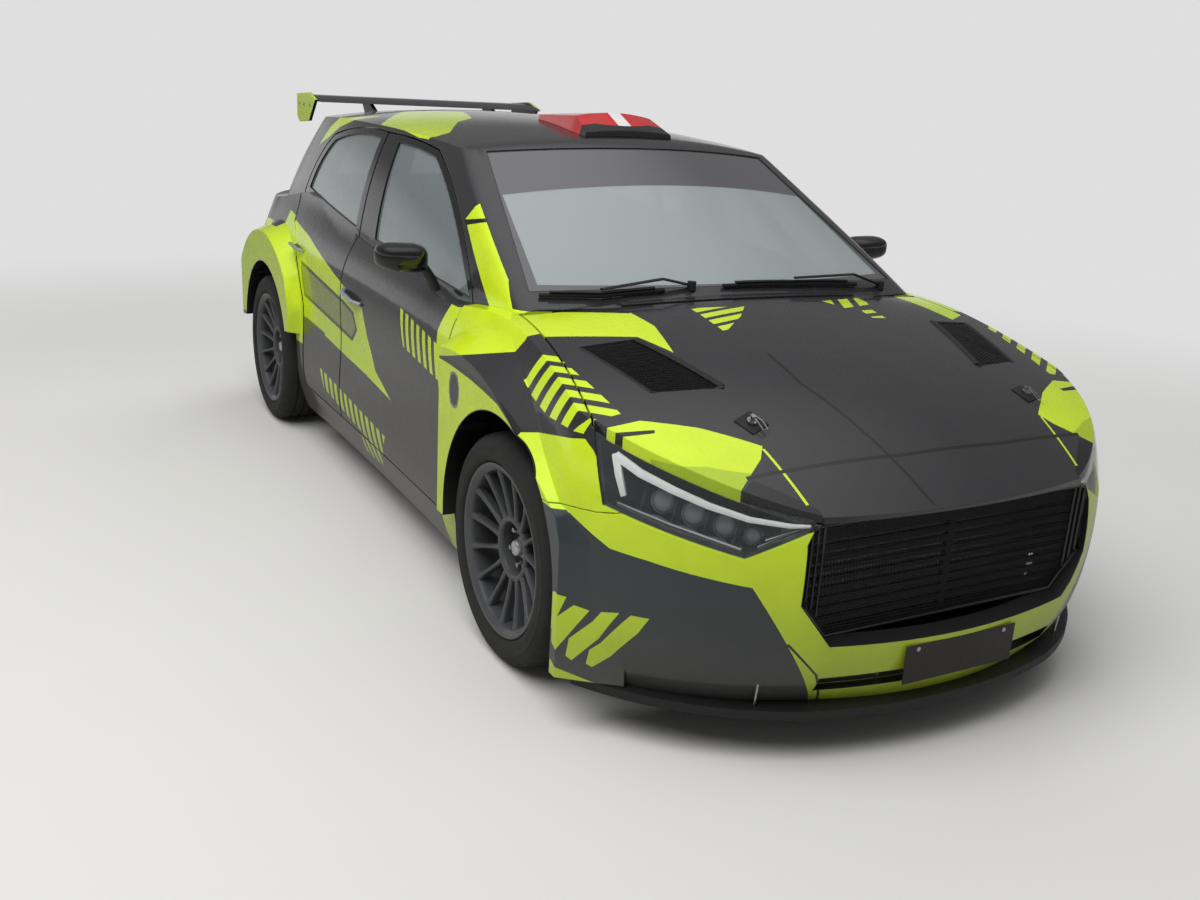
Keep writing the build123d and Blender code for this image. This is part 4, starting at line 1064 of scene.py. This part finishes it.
grilleSettings = {
    "outline": [(-0.467, 0.579), (-0.47, 0.433), (-0.383, 0.331), (0.383, 0.331), (0.47, 0.433),
                (0.467, 0.579), (0.452, 0.619), (-0.452, 0.619)],
    "x": 1.973,
    "pitch": 0.0098,
    "wire": 0.0014,
    "frame": 0.0055,
    # each post at the mouth's sides: y and the height of its foot
    "posts": [(0.418, 0.392), (0.436, 0.4136), (0.454, 0.4352)],
    "postTop": 0.616,
    "postRadius": 0.003,
}


def makeGrilleMesh(s):
    x, outline = s["x"], [(s["x"], y, z) for y, z in s["outline"]]
    flat = makeObject("grilleArea", outline, [tuple(range(len(outline)))])
    wide, low, high = max(p[1] for p in outline), min(p[2] for p in outline), max(p[2] for p in outline)
    corner = (x + 0.2, -wide, low + 0.004)
    mesh = layMesh(flat, s, (2 * wide, high - low), corner, (0, 1, 0), (0, 0, 1), (-1, 0, 0))
    mesh.name = "grille-mesh"
    rail = sweepTube("grille-frame", outline, s["frame"], "glossBlack", 8, closed=True)
    posts = [sweepTube("post", [(x + 0.004, sign * y, foot), (x + 0.004, sign * y, s["postTop"])],
                       s["postRadius"], "glossBlack", 6) for sign in (-1, 1) for y, foot in s["posts"]]
    for piece in (mesh, rail, joined("grille-posts", posts)):
        attach(piece, "chassis")


makeGrilleMesh(grilleSettings)

ventSettings = {
    "outline": [(1.246, -0.694), (1.262, -0.533), (1.552, -0.443), (1.512, -0.628)],
    "pitch": 0.0095,
    "wire": 0.0013,
    "lift": 0.002,
    "steps": 10,
    # the sheet lies on the highest bars within this reach
    "reach": [(dx, dy) for dx in (-0.012, -0.006, 0, 0.006, 0.012) for dy in (-0.008, 0, 0.008)],
    # the lip runs along three sides, from corner to corner, as high as the bonnet beside it
    "lipSides": [(3, 2), (0, 3), (2, 1)],
    "lipReach": [(0.02, 0), (0, -0.02), (0, 0.02)],
    "lipRadius": 0.011,
}


def ventSheet(s):
    ventTop = surfaceOf("bonnet_vents")
    a, b, c, d = (Vector((*p, 0)) for p in s["outline"])
    steps = s["steps"]
    verts = []
    for i in range(steps + 1):
        for j in range(steps + 1):
            u, v = i / steps, j / steps
            p = (a * (1 - u) + b * u) * (1 - v) + (d * (1 - u) + c * u) * v
            near = [under(ventTop, p.x + dx, p.y + dy) for dx, dy in s["reach"]]
            verts.append([p.x, p.y, max((f[0].z for f in near if f and f[1].z > 0.5), default=None)])
    known = [v for v in verts if v[2] is not None]
    for v in verts:
        if v[2] is None:
            v[2] = min(known, key=lambda k: (k[0] - v[0]) ** 2 + (k[1] - v[1]) ** 2)[2]
    verts = [(x, y, z + s["lift"]) for x, y, z in verts]
    return makeObject("ventArea", verts, bandFaces(steps + 1, steps + 1, around=False))


def makeVentMesh(s):
    low, high = ([pick(p[k] for p in s["outline"]) for k in (0, 1)] for pick in (min, max))
    spans = (high[0] - low[0], high[1] - low[1])
    attachBoth("vent-mesh", [layMesh(ventSheet(s), s, spans, (*low, 2.0), (1, 0, 0), (0, 1, 0), (0, 0, -1))],
               "bonnet")
    bonnetTop = surfaceOf("bonnet", "bonnet_vents")
    lip = []
    for p, q in s["lipSides"]:
        line = []
        for x, y in between(s["outline"][p], s["outline"][q], 8):
            found = [under(bonnetTop, x + dx, y + dy) for dx, dy in [*s["lipReach"], (0, 0)]]
            line.append((x, y, max(f[0].z for f in found if f) - 0.002))
        lip.append(sweepTube("lip", line, s["lipRadius"], "blackPlastic", 8, flat=0.5))
    attachBoth("vent-lip", lip, "bonnet")


makeVentMesh(ventSettings)
print("wire mesh made")


# Headlamps: what shows behind the covers, in the slanting frame that faces each cover
lampSettings = {
    "turn": radians(50),
    # ribbons: material, depth behind the cover, thickness, and lines of (distance along, height, width)
    "guides": ("lightStrip", 0.012, 0.012, [
        [(0.741, 0.726, 0.02), (0.758, 0.68, 0.019), (0.778, 0.634, 0.014)],
        [(0.741, 0.722, 0.018), (0.812, 0.693, 0.017), (0.9, 0.668, 0.015), (0.985, 0.645, 0.013),
         (1.08, 0.624, 0.011), (1.17, 0.616, 0.009), (1.215, 0.617, 0.006)]]),
    "blades": ("glossBlack", 0.03, 0.04, [
        [(0.818, 0.596, 0.004), (0.828, 0.668, 0.004)], [(0.898, 0.58, 0.004), (0.908, 0.65, 0.004)],
        [(0.974, 0.562, 0.004), (0.984, 0.63, 0.004)], [(1.044, 0.548, 0.004), (1.054, 0.608, 0.004)]]),
    "fins": ("chrome", 0.022, 0.01, [
        [(1.105, 0.56, 0.007), (1.19, 0.606, 0.003)], [(1.12, 0.578, 0.007), (1.205, 0.612, 0.003)],
        [(1.098, 0.548, 0.007), (1.15, 0.58, 0.003)]]),
    "sill": ("chrome", 0.022, 0.02, [[(0.76, 0.612, 0.01), (0.9, 0.586, 0.012), (1.07, 0.549, 0.012)]]),
    # lamps: distance along, height, radius
    "modules": [(0.868, 0.628, 0.027), (0.945, 0.61, 0.027), (1.02, 0.592, 0.025), (1.086, 0.574, 0.019)],
    "moduleDeep": 0.058,
    "moduleTilt": 0.12,
    "ribbonEdge": 0.0015,
    # turned round each lamp: (share of its radius, distance outwards)
    "bezel": [(1.22, -0.01), (1.22, 0.004), (1.1, 0.01), (1.02, 0.008), (0.96, -0.004)],
    "cup": [(1.2, -0.008), (1.15, -0.018), (0, -0.02)],
    "dome": (0.97, 0.42, 0.006),
    "domeSteps": 8,
    # how far out the cover is looked for from, and where it is when no line meets it
    "lookFrom": 2.5,
    "leastOut": 1.5,
    "usualOut": 1.64,
}
lampSurface = surfaceOf("headlamp_lenses")


def lampPoint(u, z, deep, s=lampSettings):
    # A point behind the right cover: along it, up, and how far in.
    facing = Vector((cos(s["turn"]), -sin(s["turn"]), 0))
    level = Vector((sin(s["turn"]), cos(s["turn"]), 0)) * u
    found = meets(lampSurface, level + facing * s["lookFrom"] + Vector((0, 0, z)), -facing)
    out = (found[0] - level).dot(facing) if found else 0
    return level + Vector((0, 0, z)) + facing * ((out if out >= s["leastOut"] else s["usualOut"]) - deep)


def lampRibbon(line, deep, thick, material, edge):
    # A flat light guide along a line: each point has its height across the line.
    verts = []
    for i, (u, z, wide) in enumerate(line):
        before, after = line[max(i - 1, 0)], line[min(i + 1, len(line) - 1)]
        along = Vector((after[0] - before[0], after[1] - before[1])).normalized()
        side = Vector((-along.y, along.x)) * wide / 2
        for sign, inward in ((1, 0), (-1, 0), (-1, 1), (1, 1)):
            verts.append(lampPoint(u + side.x * sign, z + side.y * sign, deep + inward * thick))
    obj = makeObject("ribbon", verts, bandFaces(len(line), 4) + endFaces(len(line), 4), material)
    recalculate(obj)
    return roundEdges(obj, edge, angle=40)


def lampRing(profile, place, facing, material):
    # A turned piece whose line looks out through the cover.
    obj = revolveY("ring", profile, (0, 0, 0), material, 40, 1, closed=False)
    turn = Vector((0, 1, 0)).rotation_difference(facing).to_matrix().to_4x4()
    obj.data.transform(Matrix.Translation(place) @ turn)
    recalculate(obj)
    return smoothByAngle(obj, 40)


def makeLampInside(s):
    tilted = Vector((cos(s["turn"]), -sin(s["turn"]), s["moduleTilt"])).normalized()
    pieces = {}
    for part in ("guides", "blades", "fins", "sill"):
        material, deep, thick, lines = s[part]
        pieces[part] = [lampRibbon(line, deep, thick, material, s["ribbonEdge"]) for line in lines]
    rings = []
    wide, tall, base = s["dome"]
    quarter = [a * pi / (2 * s["domeSteps"]) for a in range(s["domeSteps"] + 1)]
    for u, z, r in s["modules"]:
        back = lampPoint(u, z, s["moduleDeep"])
        dome = [(r * wide * cos(a), base + r * tall * sin(a)) for a in quarter]
        bezel, cup = ([(r * share, h) for share, h in s[part]] for part in ("bezel", "cup"))
        for profile, material in ((bezel, "chrome"), (dome, "lampGlass"), (cup, "glossBlack")):
            rings.append(lampRing(profile, back, tilted, material))
    pieces = pieces["guides"] + rings + pieces["blades"] + pieces["fins"] + pieces["sill"]
    attachBoth("headlamp-inside", pieces, "chassis")


makeLampInside(lampSettings)
print("headlamps made")


# Wipers, lying on the foot of the windscreen
wiperSettings = {
    "blades": [[(0.918, -0.66), (0.966, -0.48), (1.01, -0.27)],
               [(1.02, -0.06), (0.985, 0.215), (0.95, 0.48)]],
    "pivots": [(1.012, -0.17), (0.955, 0.59)],
    "lift": 0.01,
    "usualHeight": 0.95,
    "step": 0.004,
    "clear": 0.016,
    "pivotClear": 0.024,
    "heights": (0.002, 0.015, 0.03, 0.045),
    # the bonnet's hinge line and how far it opens
    "hinge": (0.955, 0, 0.915),
    "opens": radians(50),
    "rubber": 0.0065,
    "spine": 0.0075,
    "spineLift": 0.01,
    "arm": 0.0085,
    "armLift": (0.022, 0.02),
    "boss": 0.014,
    "bossLift": 0.012,
    "bossEnds": (-0.014, 0.012),
}


def makeWipers(s):
    shell = surfaceOf("windscreen", "body_shell")
    # The bonnet shut and at its widest, so that it passes the wipers as it opens.
    hinge = Vector(s["hinge"])
    turned = Matrix.Translation(hinge) @ Matrix.Rotation(-s["opens"], 4, "Y") @ Matrix.Translation(-hinge)
    mesh = nodes["bonnet"].data
    faces = [tuple(p.vertices) for p in mesh.polygons]
    bonnets = [BVHTree.FromPolygons([place @ v.co for v in mesh.vertices], faces)
               for place in (Matrix.Identity(4), turned)]

    def height(x, y):
        foot = under(shell, x, y)
        return foot[0].z if foot else s["usualHeight"]

    def behindBonnet(x, y, clear):
        while x > 0.8:
            z = height(x, y)
            hits = [meets(tree, (0.6, y, z + rise), (1, 0, 0)) for tree in bonnets for rise in s["heights"]]
            if all(hit is None or hit[0].x > x + clear for hit in hits):
                break
            x -= s["step"]
        return x, y

    pieces = []
    for blade, pivot in zip(s["blades"], s["pivots"]):
        blade = [behindBonnet(x, y, s["clear"]) for x, y in blade]
        line = [spot for p, q in zip(blade, blade[1:]) for spot in between(p, q, 6)[:-1]] + blade[-1:]
        rubber = [(x, y, height(x, y) + s["lift"]) for x, y in line]
        pieces.append(sweepTube("blade", rubber, s["rubber"], "rubber", 8))
        spine = [(x, y, z + s["spineLift"]) for x, y, z in rubber[1:-1]]
        pieces.append(sweepTube("spine", spine, s["spine"], "blackPlastic", 8, flat=0.55))
        mx, my, mz = rubber[len(rubber) // 2]
        x, y = behindBonnet(*pivot, s["pivotClear"])
        z = height(x, y) + s["bossLift"]
        bend = ((x * 2 + mx) / 3, (y * 2 + my) / 3, max(z, mz) + s["armLift"][0])
        arm = [(x, y, z), bend, (mx, my, mz + s["armLift"][1])]
        pieces.append(sweepTube("arm", arm, s["arm"], "blackPlastic", 8, flat=0.5))
        boss = [(x, y, z + rise) for rise in s["bossEnds"]]
        pieces.append(sweepTube("boss", boss, s["boss"], "blackPlastic", 16))
    attach(joined("wipers", pieces), "chassis")


makeWipers(wiperSettings)


# Door handles
handleSettings = {
    # from and to in x and z
    "doors": {"front": ((-0.33, 0.775), (-0.125, 0.752)), "rear": ((-1.12, 0.838), (-0.93, 0.822))},
    "steps": 12,
    # how far the grip stands off, how steeply it gets there, and the least share of it
    "reach": 0.026,
    "steep": 4.2,
    "least": 0.02,
    "thick": 0.0105,
    "dish": 0.02,
    "dishLift": 0.0008,
}


def makeHandle(end, s):
    skin = surfaceOf(f"{end}_door_right")
    line, dish = [], []
    for i, (x, z) in enumerate(between(*s["doors"][end], s["steps"])):
        found = meets(skin, (x, -2, z), (0, 1, 0))
        if found:
            along = i / s["steps"]
            off = s["reach"] * min(1, s["steep"] * min(along, 1 - along) + s["least"])
            line.append(found[0] - Vector((0, off, 0)))
            dish.append(found[0] - Vector((0, s["dishLift"], 0)))
    grip = sweepTube("grip", line, s["thick"], "handleSilver", 12, flat=0.62)
    backing = sweepTube("backing", dish[1:-1], s["dish"], "glossBlack", 14, flat=0.1)
    attachBoth(f"{end}-door-handle", [grip, backing], end + "_door_{side}")


for end in handleSettings["doors"]:
    makeHandle(end, handleSettings)


# Mirrors
mirrorSettings = {
    "middle": (0.482, -0.917, 1.016),
    "half": (0.056, 0.082, 0.047),
    "square": 3.4,
    "rows": 20,
    "columns": 40,
    "back": -0.72,
    "narrower": 0.16,
    "taper": 0.14,
    "tipDrop": 0.005,
    # the glass: its two faces, and its size across and up, as shares of the half sizes
    "glass": (-0.735, -0.7, 0.86, 0.84),
    "foot": [(0.478, -0.806, 0.915), (0.48, -0.822, 0.95), (0.484, -0.848, 0.985), (0.486, -0.872, 1.006)],
    "footRadius": 0.026,
}


def makeMirror(s):
    # A rounded box shell, flat at the back where the mirror glass is.
    (cx, cy, cz), (hx, hy, hz) = s["middle"], s["half"]
    rows, columns = s["rows"], s["columns"]

    def rounded(value):
        return (abs(value) ** (2 / s["square"])) * (1 if value >= 0 else -1)

    angles = [2 * pi * k / columns for k in range(columns)]
    around = [(rounded(cos(a)), rounded(sin(a))) for a in angles]
    verts = []
    for i in range(rows + 1):
        lat = -pi / 2 + pi * i / rows
        x = max(rounded(sin(lat)), s["back"])
        narrow = 1 - s["narrower"] * max(0, x)
        for across, up in around:
            y, z = rounded(cos(lat)) * across, rounded(cos(lat)) * up
            taper = 1 - s["taper"] * (-y * 0.5 + 0.5)
            verts.append((cx + hx * x, cy + hy * y * narrow, cz + hz * z * narrow * taper - s["tipDrop"] * y))
    shell = makeObject("shell", verts, bandFaces(rows + 1, columns), "glossBlack", smooth=True)
    recalculate(shell)
    smoothByAngle(shell, 50)
    rear, front, wide, tall = s["glass"]
    ring = [(cx + hx * x, cy + wide * hy * y, cz + tall * hz * z) for x in (rear, front) for y, z in around]
    glassFace = makeObject("glassFace", ring, endFaces(2, columns) + bandFaces(2, columns), "chrome")
    recalculate(glassFace)
    foot = sweepTube("foot", s["foot"], s["footRadius"], "blackPlastic", 14, flat=0.55)
    attachBoth("mirror", [shell, glassFace, foot], "front_door_{side}", "mirror_{side}")


makeMirror(mirrorSettings)
print("wipers, handles and mirrors made")


# Bonnet pins, blank front plate and splitter stays
pinSettings = {
    "places": [(1.7, -0.452), (1.69, 0.5)],
    "turn": 0.35,
    "plate": 0.0315016,
    "plateThick": 0.003,
    "plateEdge": 0.0012,
    # points, radius and sides of the pin, its collar and its clip
    "tubes": [
        ([(0, 0, 0), (0, 0, 0.024)], 0.006, 14),
        ([(0, 0, 0.002), (0, 0, 0.01)], 0.013, 18),
        ([(-0.012, 0.004, 0.018), (0.018, -0.004, 0.018), (0.042, -0.01, 0.012), (0.046, 0.004, 0.01),
          (0.02, 0.012, 0.016), (-0.01, 0.01, 0.018)], 0.0018, 6)],
}


def makeBonnetPins(s):
    top = surfaceOf("bonnet")
    pieces = []
    for x, y in s["places"]:
        place, normal = under(top, x, y)
        turn = Vector((0, 0, 1)).rotation_difference(normal).to_matrix().to_4x4()
        turn = turn @ Matrix.Rotation(s["turn"], 4, "Z")
        half = s["plate"]
        square = [(half, half), (-half, half), (-half, -half), (half, -half)]
        plate = prism("plate", square, s["plateThick"], (0, 0, 0), (1, 0, 0), (0, 1, 0), "blackPlastic")
        parts = [roundEdges(plate, s["plateEdge"])]
        parts += [sweepTube("pin", line, radius, "boltSteel", sides) for line, radius, sides in s["tubes"]]
        for piece in parts:
            piece.data.transform(Matrix.Translation(place) @ turn)
        pieces += parts
    attach(joined("bonnet-pins", pieces), "bonnet")


makeBonnetPins(pinSettings)

plateSettings = {
    "block": ((2.0455, -0.178, 0.194), (2.0492, 0.19, 0.297), "plateDark", 0.0014),
    "screws": [(2.0494, -0.14, 0.285), (2.0494, 0.15, 0.285)],
    "screwSize": (0.004, 0.0014),
}
attach(blockPiece("front-plate", *plateSettings["block"]), "chassis")
fasteners("front-plate-screws", plateSettings["screws"], (1, 0, 0), *plateSettings["screwSize"], "chassis")

staySettings = {
    "y": (-0.52, -0.2, 0.2, 0.52),
    "top": 0.205,
    "foot": 0.141,
    # how far behind the bumper's face the stay's top and foot are
    "behind": (0.004, 0.012),
    "radius": 0.004,
}


def makeStays(s):
    bumper = surfaceOf("front_bumper")
    pieces = []
    for y in s["y"]:
        top = meets(bumper, (3, y, s["top"]), (-1, 0, 0))[0]
        ends = [(top.x - s["behind"][0], y, top.z), (top.x - s["behind"][1], y, s["foot"])]
        pieces.append(sweepTube("stay", ends, s["radius"], "boltSteel", 10))
    attach(joined("splitter-stays", pieces), "chassis")


makeStays(staySettings)


# Springs round the struts and the dampers
springSettings = {
    # foot, head and number of turns
    "front": ((1.2, -0.603, 0.5), (1.2, -0.593, 0.7), 6),
    "rear": ((-1.36, -0.606, 0.44), (-1.36, -0.6, 0.66), 7),
    "radius": 0.045,
    "wire": 0.0055,
    "steps": 18,
    "cupOver": 0.008,
    "cupHalf": 0.005,
}


def makeSpring(end, s):
    foot, head, turns = Vector(s[end][0]), Vector(s[end][1]), s[end][2]
    count = turns * s["steps"]
    line = []
    for i in range(count + 1):
        a = 2 * pi * i / s["steps"]
        line.append(foot.lerp(head, i / count) + Vector((cos(a), sin(a), 0)) * s["radius"])
    pieces = [sweepTube("coil", line, s["wire"], "springPaint", 8)]
    over, half = Vector((0, 0, s["cupOver"])), Vector((0, 0, s["cupHalf"]))
    for p in (foot - over, head + over):
        pieces.append(sweepTube("cup", [p - half, p + half], s["radius"] + s["cupOver"], "castAlloy", 28))
    attachBoth(f"spring-{end}", pieces, "chassis")


for end in ("front", "rear"):
    makeSpring(end, springSettings)
print("hardware made")


# Seat cushions and harnesses
seatSettings = {
    "y": 0.37,
    # each cushion: foot and head of its line in x and z, half width, thickness
    "pads": {
        "base": ((0.118, 0.299), (-0.15, 0.29), 0.15, 0.04),
        "back": ((-0.262, 0.446), (-0.324, 0.77), 0.152, 0.042),
        "head": ((-0.342, 0.856), (-0.366, 1.02), 0.09, 0.032),
    },
    "rows": 26,
    "columns": 18,
    "seams": (0.34, 0.67),
    "seamDeep": 0.22,
    "seamWide": 0.025,
    # how steeply it rises from its sides and its ends, its height along the middle and what the sides add
    "steep": (7, 9),
    "crown": (0.55, 0.45),
    "underside": 0.004,
    "belt": [(-0.336, 0.925), (-0.312, 0.8), (-0.286, 0.74), (-0.258, 0.6), (-0.226, 0.45), (-0.196, 0.372),
             (-0.16, 0.346)],
    "beltHalf": 0.023,
    "beltApart": 0.062,
    "beltNearer": 0.6,
    # x, share of the distance apart, z
    "lap": [(-0.16, 0.4, 0.344), (-0.176, 1.3, 0.352), (-0.205, 2.5, 0.372)],
    "buckle": ((-0.192, -0.03, 0.338), (-0.132, 0.03, 0.362), "boltSteel", 0.006),
}


def makePad(name, foot, head, half, thick, middleY, s):
    # A crowned cushion: higher at its sides, drawn in along two seams, flat underneath.
    start, stop = Vector((foot[0], 0, foot[1])), Vector((head[0], 0, head[1]))
    normal = Vector((0, 1, 0)).cross((stop - start).normalized())
    if normal.x + normal.z < 0:
        normal = -normal
    rows, columns = s["rows"] + 1, s["columns"] + 1
    (sideSteep, endSteep), (low, more) = s["steep"], s["crown"]
    tops, unders = [], []
    for i in range(rows):
        for k in range(columns):
            u, v = i / s["rows"], 2 * k / s["columns"] - 1
            edge = min(1, sideSteep * (1 - abs(v))) ** 0.5 * min(1, endSteep * min(u, 1 - u)) ** 0.5
            seam = sum(s["seamDeep"] * exp(-((u - at) / s["seamWide"]) ** 2) for at in s["seams"])
            rise = thick * (low + more * v * v - seam) * edge
            spot = start.lerp(stop, u) + Vector((0, middleY + v * half, 0))
            tops.append(spot + normal * rise)
            unders.append(spot - normal * s["underside"])
    count = rows * columns
    faces = bandFaces(rows, columns, around=False)
    faces += [(count + a, count + d, count + c, count + b) for a, b, c, d in faces]
    border = list(range(columns - 1)) + list(range(columns - 1, count - 1, columns))
    border += list(range(count - 1, count - columns, -1)) + list(range(count - columns, 0, -columns))
    faces += [(a, b, count + b, count + a) for a, b in zip(border, border[1:] + border[:1])]
    obj = makeObject(name, tops + unders, faces, "padCloth")
    recalculate(obj)
    attach(smoothByAngle(obj, 50), "chassis")


def makeSeats(s):
    for side, sign in bothSides:
        middle = s["y"] * sign
        for part, sizes in s["pads"].items():
            makePad(f"seat-{part}-pad-{side}", *sizes, middle, s)
        last = len(s["belt"]) - 1
        belt = [(x, 1 - s["beltNearer"] * i / last, z) for i, (x, z) in enumerate(s["belt"])]
        straps = []
        for shift in (-s["beltApart"], s["beltApart"]):
            for line in (belt, s["lap"]):
                points = [(x, middle + shift * share, z) for x, share, z in line]
                straps.append(sweepTube("strap", points, s["beltHalf"], "beltWeb", 10, flat=0.09))
        (x0, y0, z0), (x1, y1, z1), material, edge = s["buckle"]
        buckle = blockPiece("buckle", (x0, middle + y0, z0), (x1, middle + y1, z1), material, edge)
        attach(joined(f"harness-{side}", straps + [buckle]), "chassis")


makeSeats(seatSettings)


# Levers, pedals and display
controlSettings = {
    "leverBlocks": [
        ("leverBase", (0.235, -0.045, 0.296), (0.345, 0.045, 0.33), "blackPlastic", 0.006),
        ("brakeBase", (0.085, -0.005, 0.296), (0.175, 0.055, 0.325), "brushedAlloy", 0.005)],
    # stalk and knob of the gear lever, stalk and grip of the brake lever
    "leverTubes": [
        ([(0.29, 0, 0.325), (0.296, 0.02, 0.45), (0.312, 0.08, 0.655)], 0.009, "brushedAlloy", 12),
        ([(0.3105, 0.076, 0.64), (0.3145, 0.09, 0.69), (0.3155, 0.094, 0.705)], 0.021, "glossBlack", 16),
        ([(0.12, 0.025, 0.32), (0.15, 0.032, 0.44), (0.185, 0.04, 0.58)], 0.01, "brushedAlloy", 12),
        ([(0.16, 0.0344, 0.48), (0.185, 0.04, 0.58), (0.19, 0.041, 0.6)], 0.017, "rubber", 14)],
    "pedals": (0.27, 0.37, 0.46),
    "pedalStalk": [(0.88, 0.188), (0.868, 0.3), (0.838, 0.395)],
    "stalkRadius": 0.008,
    "pedalPlace": (0.832, 0.4),
    "pedalHalf": (0.03, 0.045),
    # thickness, lean and rounding of the pedals' faces
    "pedalFace": (0.006, 0.35, 0.0018),
    "footRest": [(0.69, 0.188), (0.85, 0.36), (0.862, 0.352), (0.706, 0.184)],
    # where the foot plate starts across the car, its width and its rounding
    "restAcross": (-0.2, 0.34, 0.002),
    # where the dashboard's top is measured: x, and the height it is looked for from
    "dashboard": (0.56, 1.4),
    "screenPlace": (0.54, 0.012),
    "screenSize": (0.095, 0.08, 0.016),
    "screenLean": 0.25,
    "screenEdge": 0.004,
    "stem": [(0.555, -0.01), (0.562, 0.03)],
    "stemRadius": 0.014,
}


def makeControls(s):
    blocks = [blockPiece(*block) for block in s["leverBlocks"]]
    tubes = [sweepTube("lever", *tube) for tube in s["leverTubes"]]
    attach(joined("levers", blocks + tubes), "chassis")
    # three pedals on stalks, and a foot plate for the other seat
    feet = []
    px, pz = s["pedalPlace"]
    hy, hz = s["pedalHalf"]
    thick, lean, edge = s["pedalFace"]
    sole = [(-hy, -hz), (hy, -hz), (hy, hz), (-hy, hz)]
    for y in s["pedals"]:
        line = [(x, y, z) for x, z in s["pedalStalk"]]
        feet.append(sweepTube("stalk", line, s["stalkRadius"], "brushedAlloy", 10))
        face = prism("pad", sole, thick, (px, y, pz), (0, 1, 0), (lean, 0, 1), "brushedAlloy")
        feet.append(roundEdges(face, edge))
    y, wide, edge = s["restAcross"]
    rest = prism("rest", s["footRest"], wide, (0, y, 0), (1, 0, 0), (0, 0, 1), "brushedAlloy")
    feet.append(roundEdges(rest, edge))
    attach(joined("pedals", feet), "chassis")
    x, above = s["dashboard"]
    top = under(surfaceOf("dashboard"), x, 0, above)[0].z
    half, tall, thick = s["screenSize"]
    x, lift = s["screenPlace"]
    screen = prism("screen", [(-half, 0), (half, 0), (half, tall), (-half, tall)], thick, (x, 0, top + lift),
                   (0, 1, 0), (s["screenLean"], 0, 1), "glossBlack")
    stem = sweepTube("stem", [(x, 0, top + z) for x, z in s["stem"]], s["stemRadius"], "blackPlastic", 12)
    attach(joined("display", [roundEdges(screen, s["screenEdge"]), stem]), "chassis")


makeControls(controlSettings)
print("cabin made")


# Tail: light guides over the lamps, blank plate and wing bolts
tailSettings = {
    # each guide: height, and where it starts and ends across the car
    "guides": [(0.77, 0.6, 0.745), (0.828, 0.59, 0.752), (0.886, 0.58, 0.745)],
    "guideSteps": 12,
    "guideRadius": 0.0045,
    "guideLift": 0.0012,
    "plateHalf": 0.2,
    "plateHeights": (0.655, 0.755),
    "plateThick": 0.003,
    "plateLift": 0.0045,
    "plateEdge": 0.001,
    "wingBolts": [(-1.69, 1.372), (-1.78, 1.372), (-1.88, 1.372), (-1.96, 1.372)],
    # bolts sit on the end plates, which are farther out than this
    "boltsFrom": 0.55,
    "boltSize": (0.006, 0.005),
}


def makeTail(s):
    lamps, gate, wing = (surfaceOf(name) for name in ("tail_lamps", "tailgate", "rear_wing"))
    guides = []
    for z, inner, outer in s["guides"]:
        steps = between((inner,), (outer,), s["guideSteps"])
        found = [meets(lamps, (-3, -y, z), (1, 0, 0)) for y, in steps]
        line = [f[0] - Vector((s["guideLift"], 0, 0)) for f in found if f]
        if len(line) > 3:
            guides.append(sweepTube("guide", line, s["guideRadius"], "lightStrip", 8))
    attachBoth("tail-guides", guides, "chassis")
    low, high = (meets(gate, (-3, 0, z), (1, 0, 0))[0] for z in s["plateHeights"])
    half, tall = s["plateHalf"], (high - low).length
    plate = prism("rear-plate", [(-half, 0), (half, 0), (half, tall), (-half, tall)], s["plateThick"],
                  low - Vector((s["plateLift"], 0, 0)), (0, 1, 0), high - low, "plateDark")
    attach(roundEdges(plate, s["plateEdge"]), "tailgate")
    for side, sign in bothSides:
        found = [meets(wing, (x, sign * 1.2, z), (0, -sign, 0)) for x, z in s["wingBolts"]]
        spots = [f[0] for f in found if f and abs(f[0].y) > s["boltsFrom"]]
        fasteners(f"wing-bolts-{side}", spots, (0, sign, 0), *s["boltSize"], "tailgate")


makeTail(tailSettings)
print("tail made")


# The floor, which fades into the backdrop away from the car
floorSettings = {
    "half": 60,
    "colour": (0.7, 0.695, 0.685),
    "darker": 0.97,
    "grain": 1.5,
    # what it throws back at the car
    "bounce": (0.38, 0.375, 0.36),
    "roughness": 0.9,
    "specular": 0.1,
    # distances from the middle where the fading starts and ends
    "fade": (2.6, 6.5),
}


def makeFloor(s, backdrop):
    tree, bsdf = newMaterial("paleFloor")
    place = objectPlace(tree)
    rays, seen = seenDirectly(tree)
    darker = tuple(c * s["darker"] for c in s["colour"])
    shown = mixColour(tree, noise(tree, place, s["grain"]), darker, s["colour"])
    colour = mixColour(tree, rays["Is Camera Ray"], s["bounce"], shown)
    plug(tree, bsdf, {"Base Color": colour, "Roughness": s["roughness"], "Specular IOR Level": s["specular"]})
    distance = vectorCalc(tree, "LENGTH", place, result="Value")
    near, end = s["fade"]
    far = addNode(tree, "ShaderNodeMapRange", {0: distance, 1: near, 2: end},
                  interpolation_type="SMOOTHSTEP").outputs[0]
    plain = addNode(tree, "ShaderNodeEmission", {"Color": (backdrop, backdrop, backdrop, 1)})
    share = calc(tree, "MULTIPLY", far, seen)
    mix = addNode(tree, "ShaderNodeMixShader", {0: share, 1: bsdf.outputs[0], 2: plain.outputs[0]})
    out = next(node for node in tree.nodes if node.type == "OUTPUT_MATERIAL")
    tree.links.new(mix.outputs[0], out.inputs[0])
    half = s["half"]
    return makeObject("floor", [(-half, -half, 0), (half, -half, 0), (half, half, 0), (-half, half, 0)],
                      [(0, 1, 2, 3)], "paleFloor")


floor = makeFloor(floorSettings, lightSettings["backdrop"])

print("done")
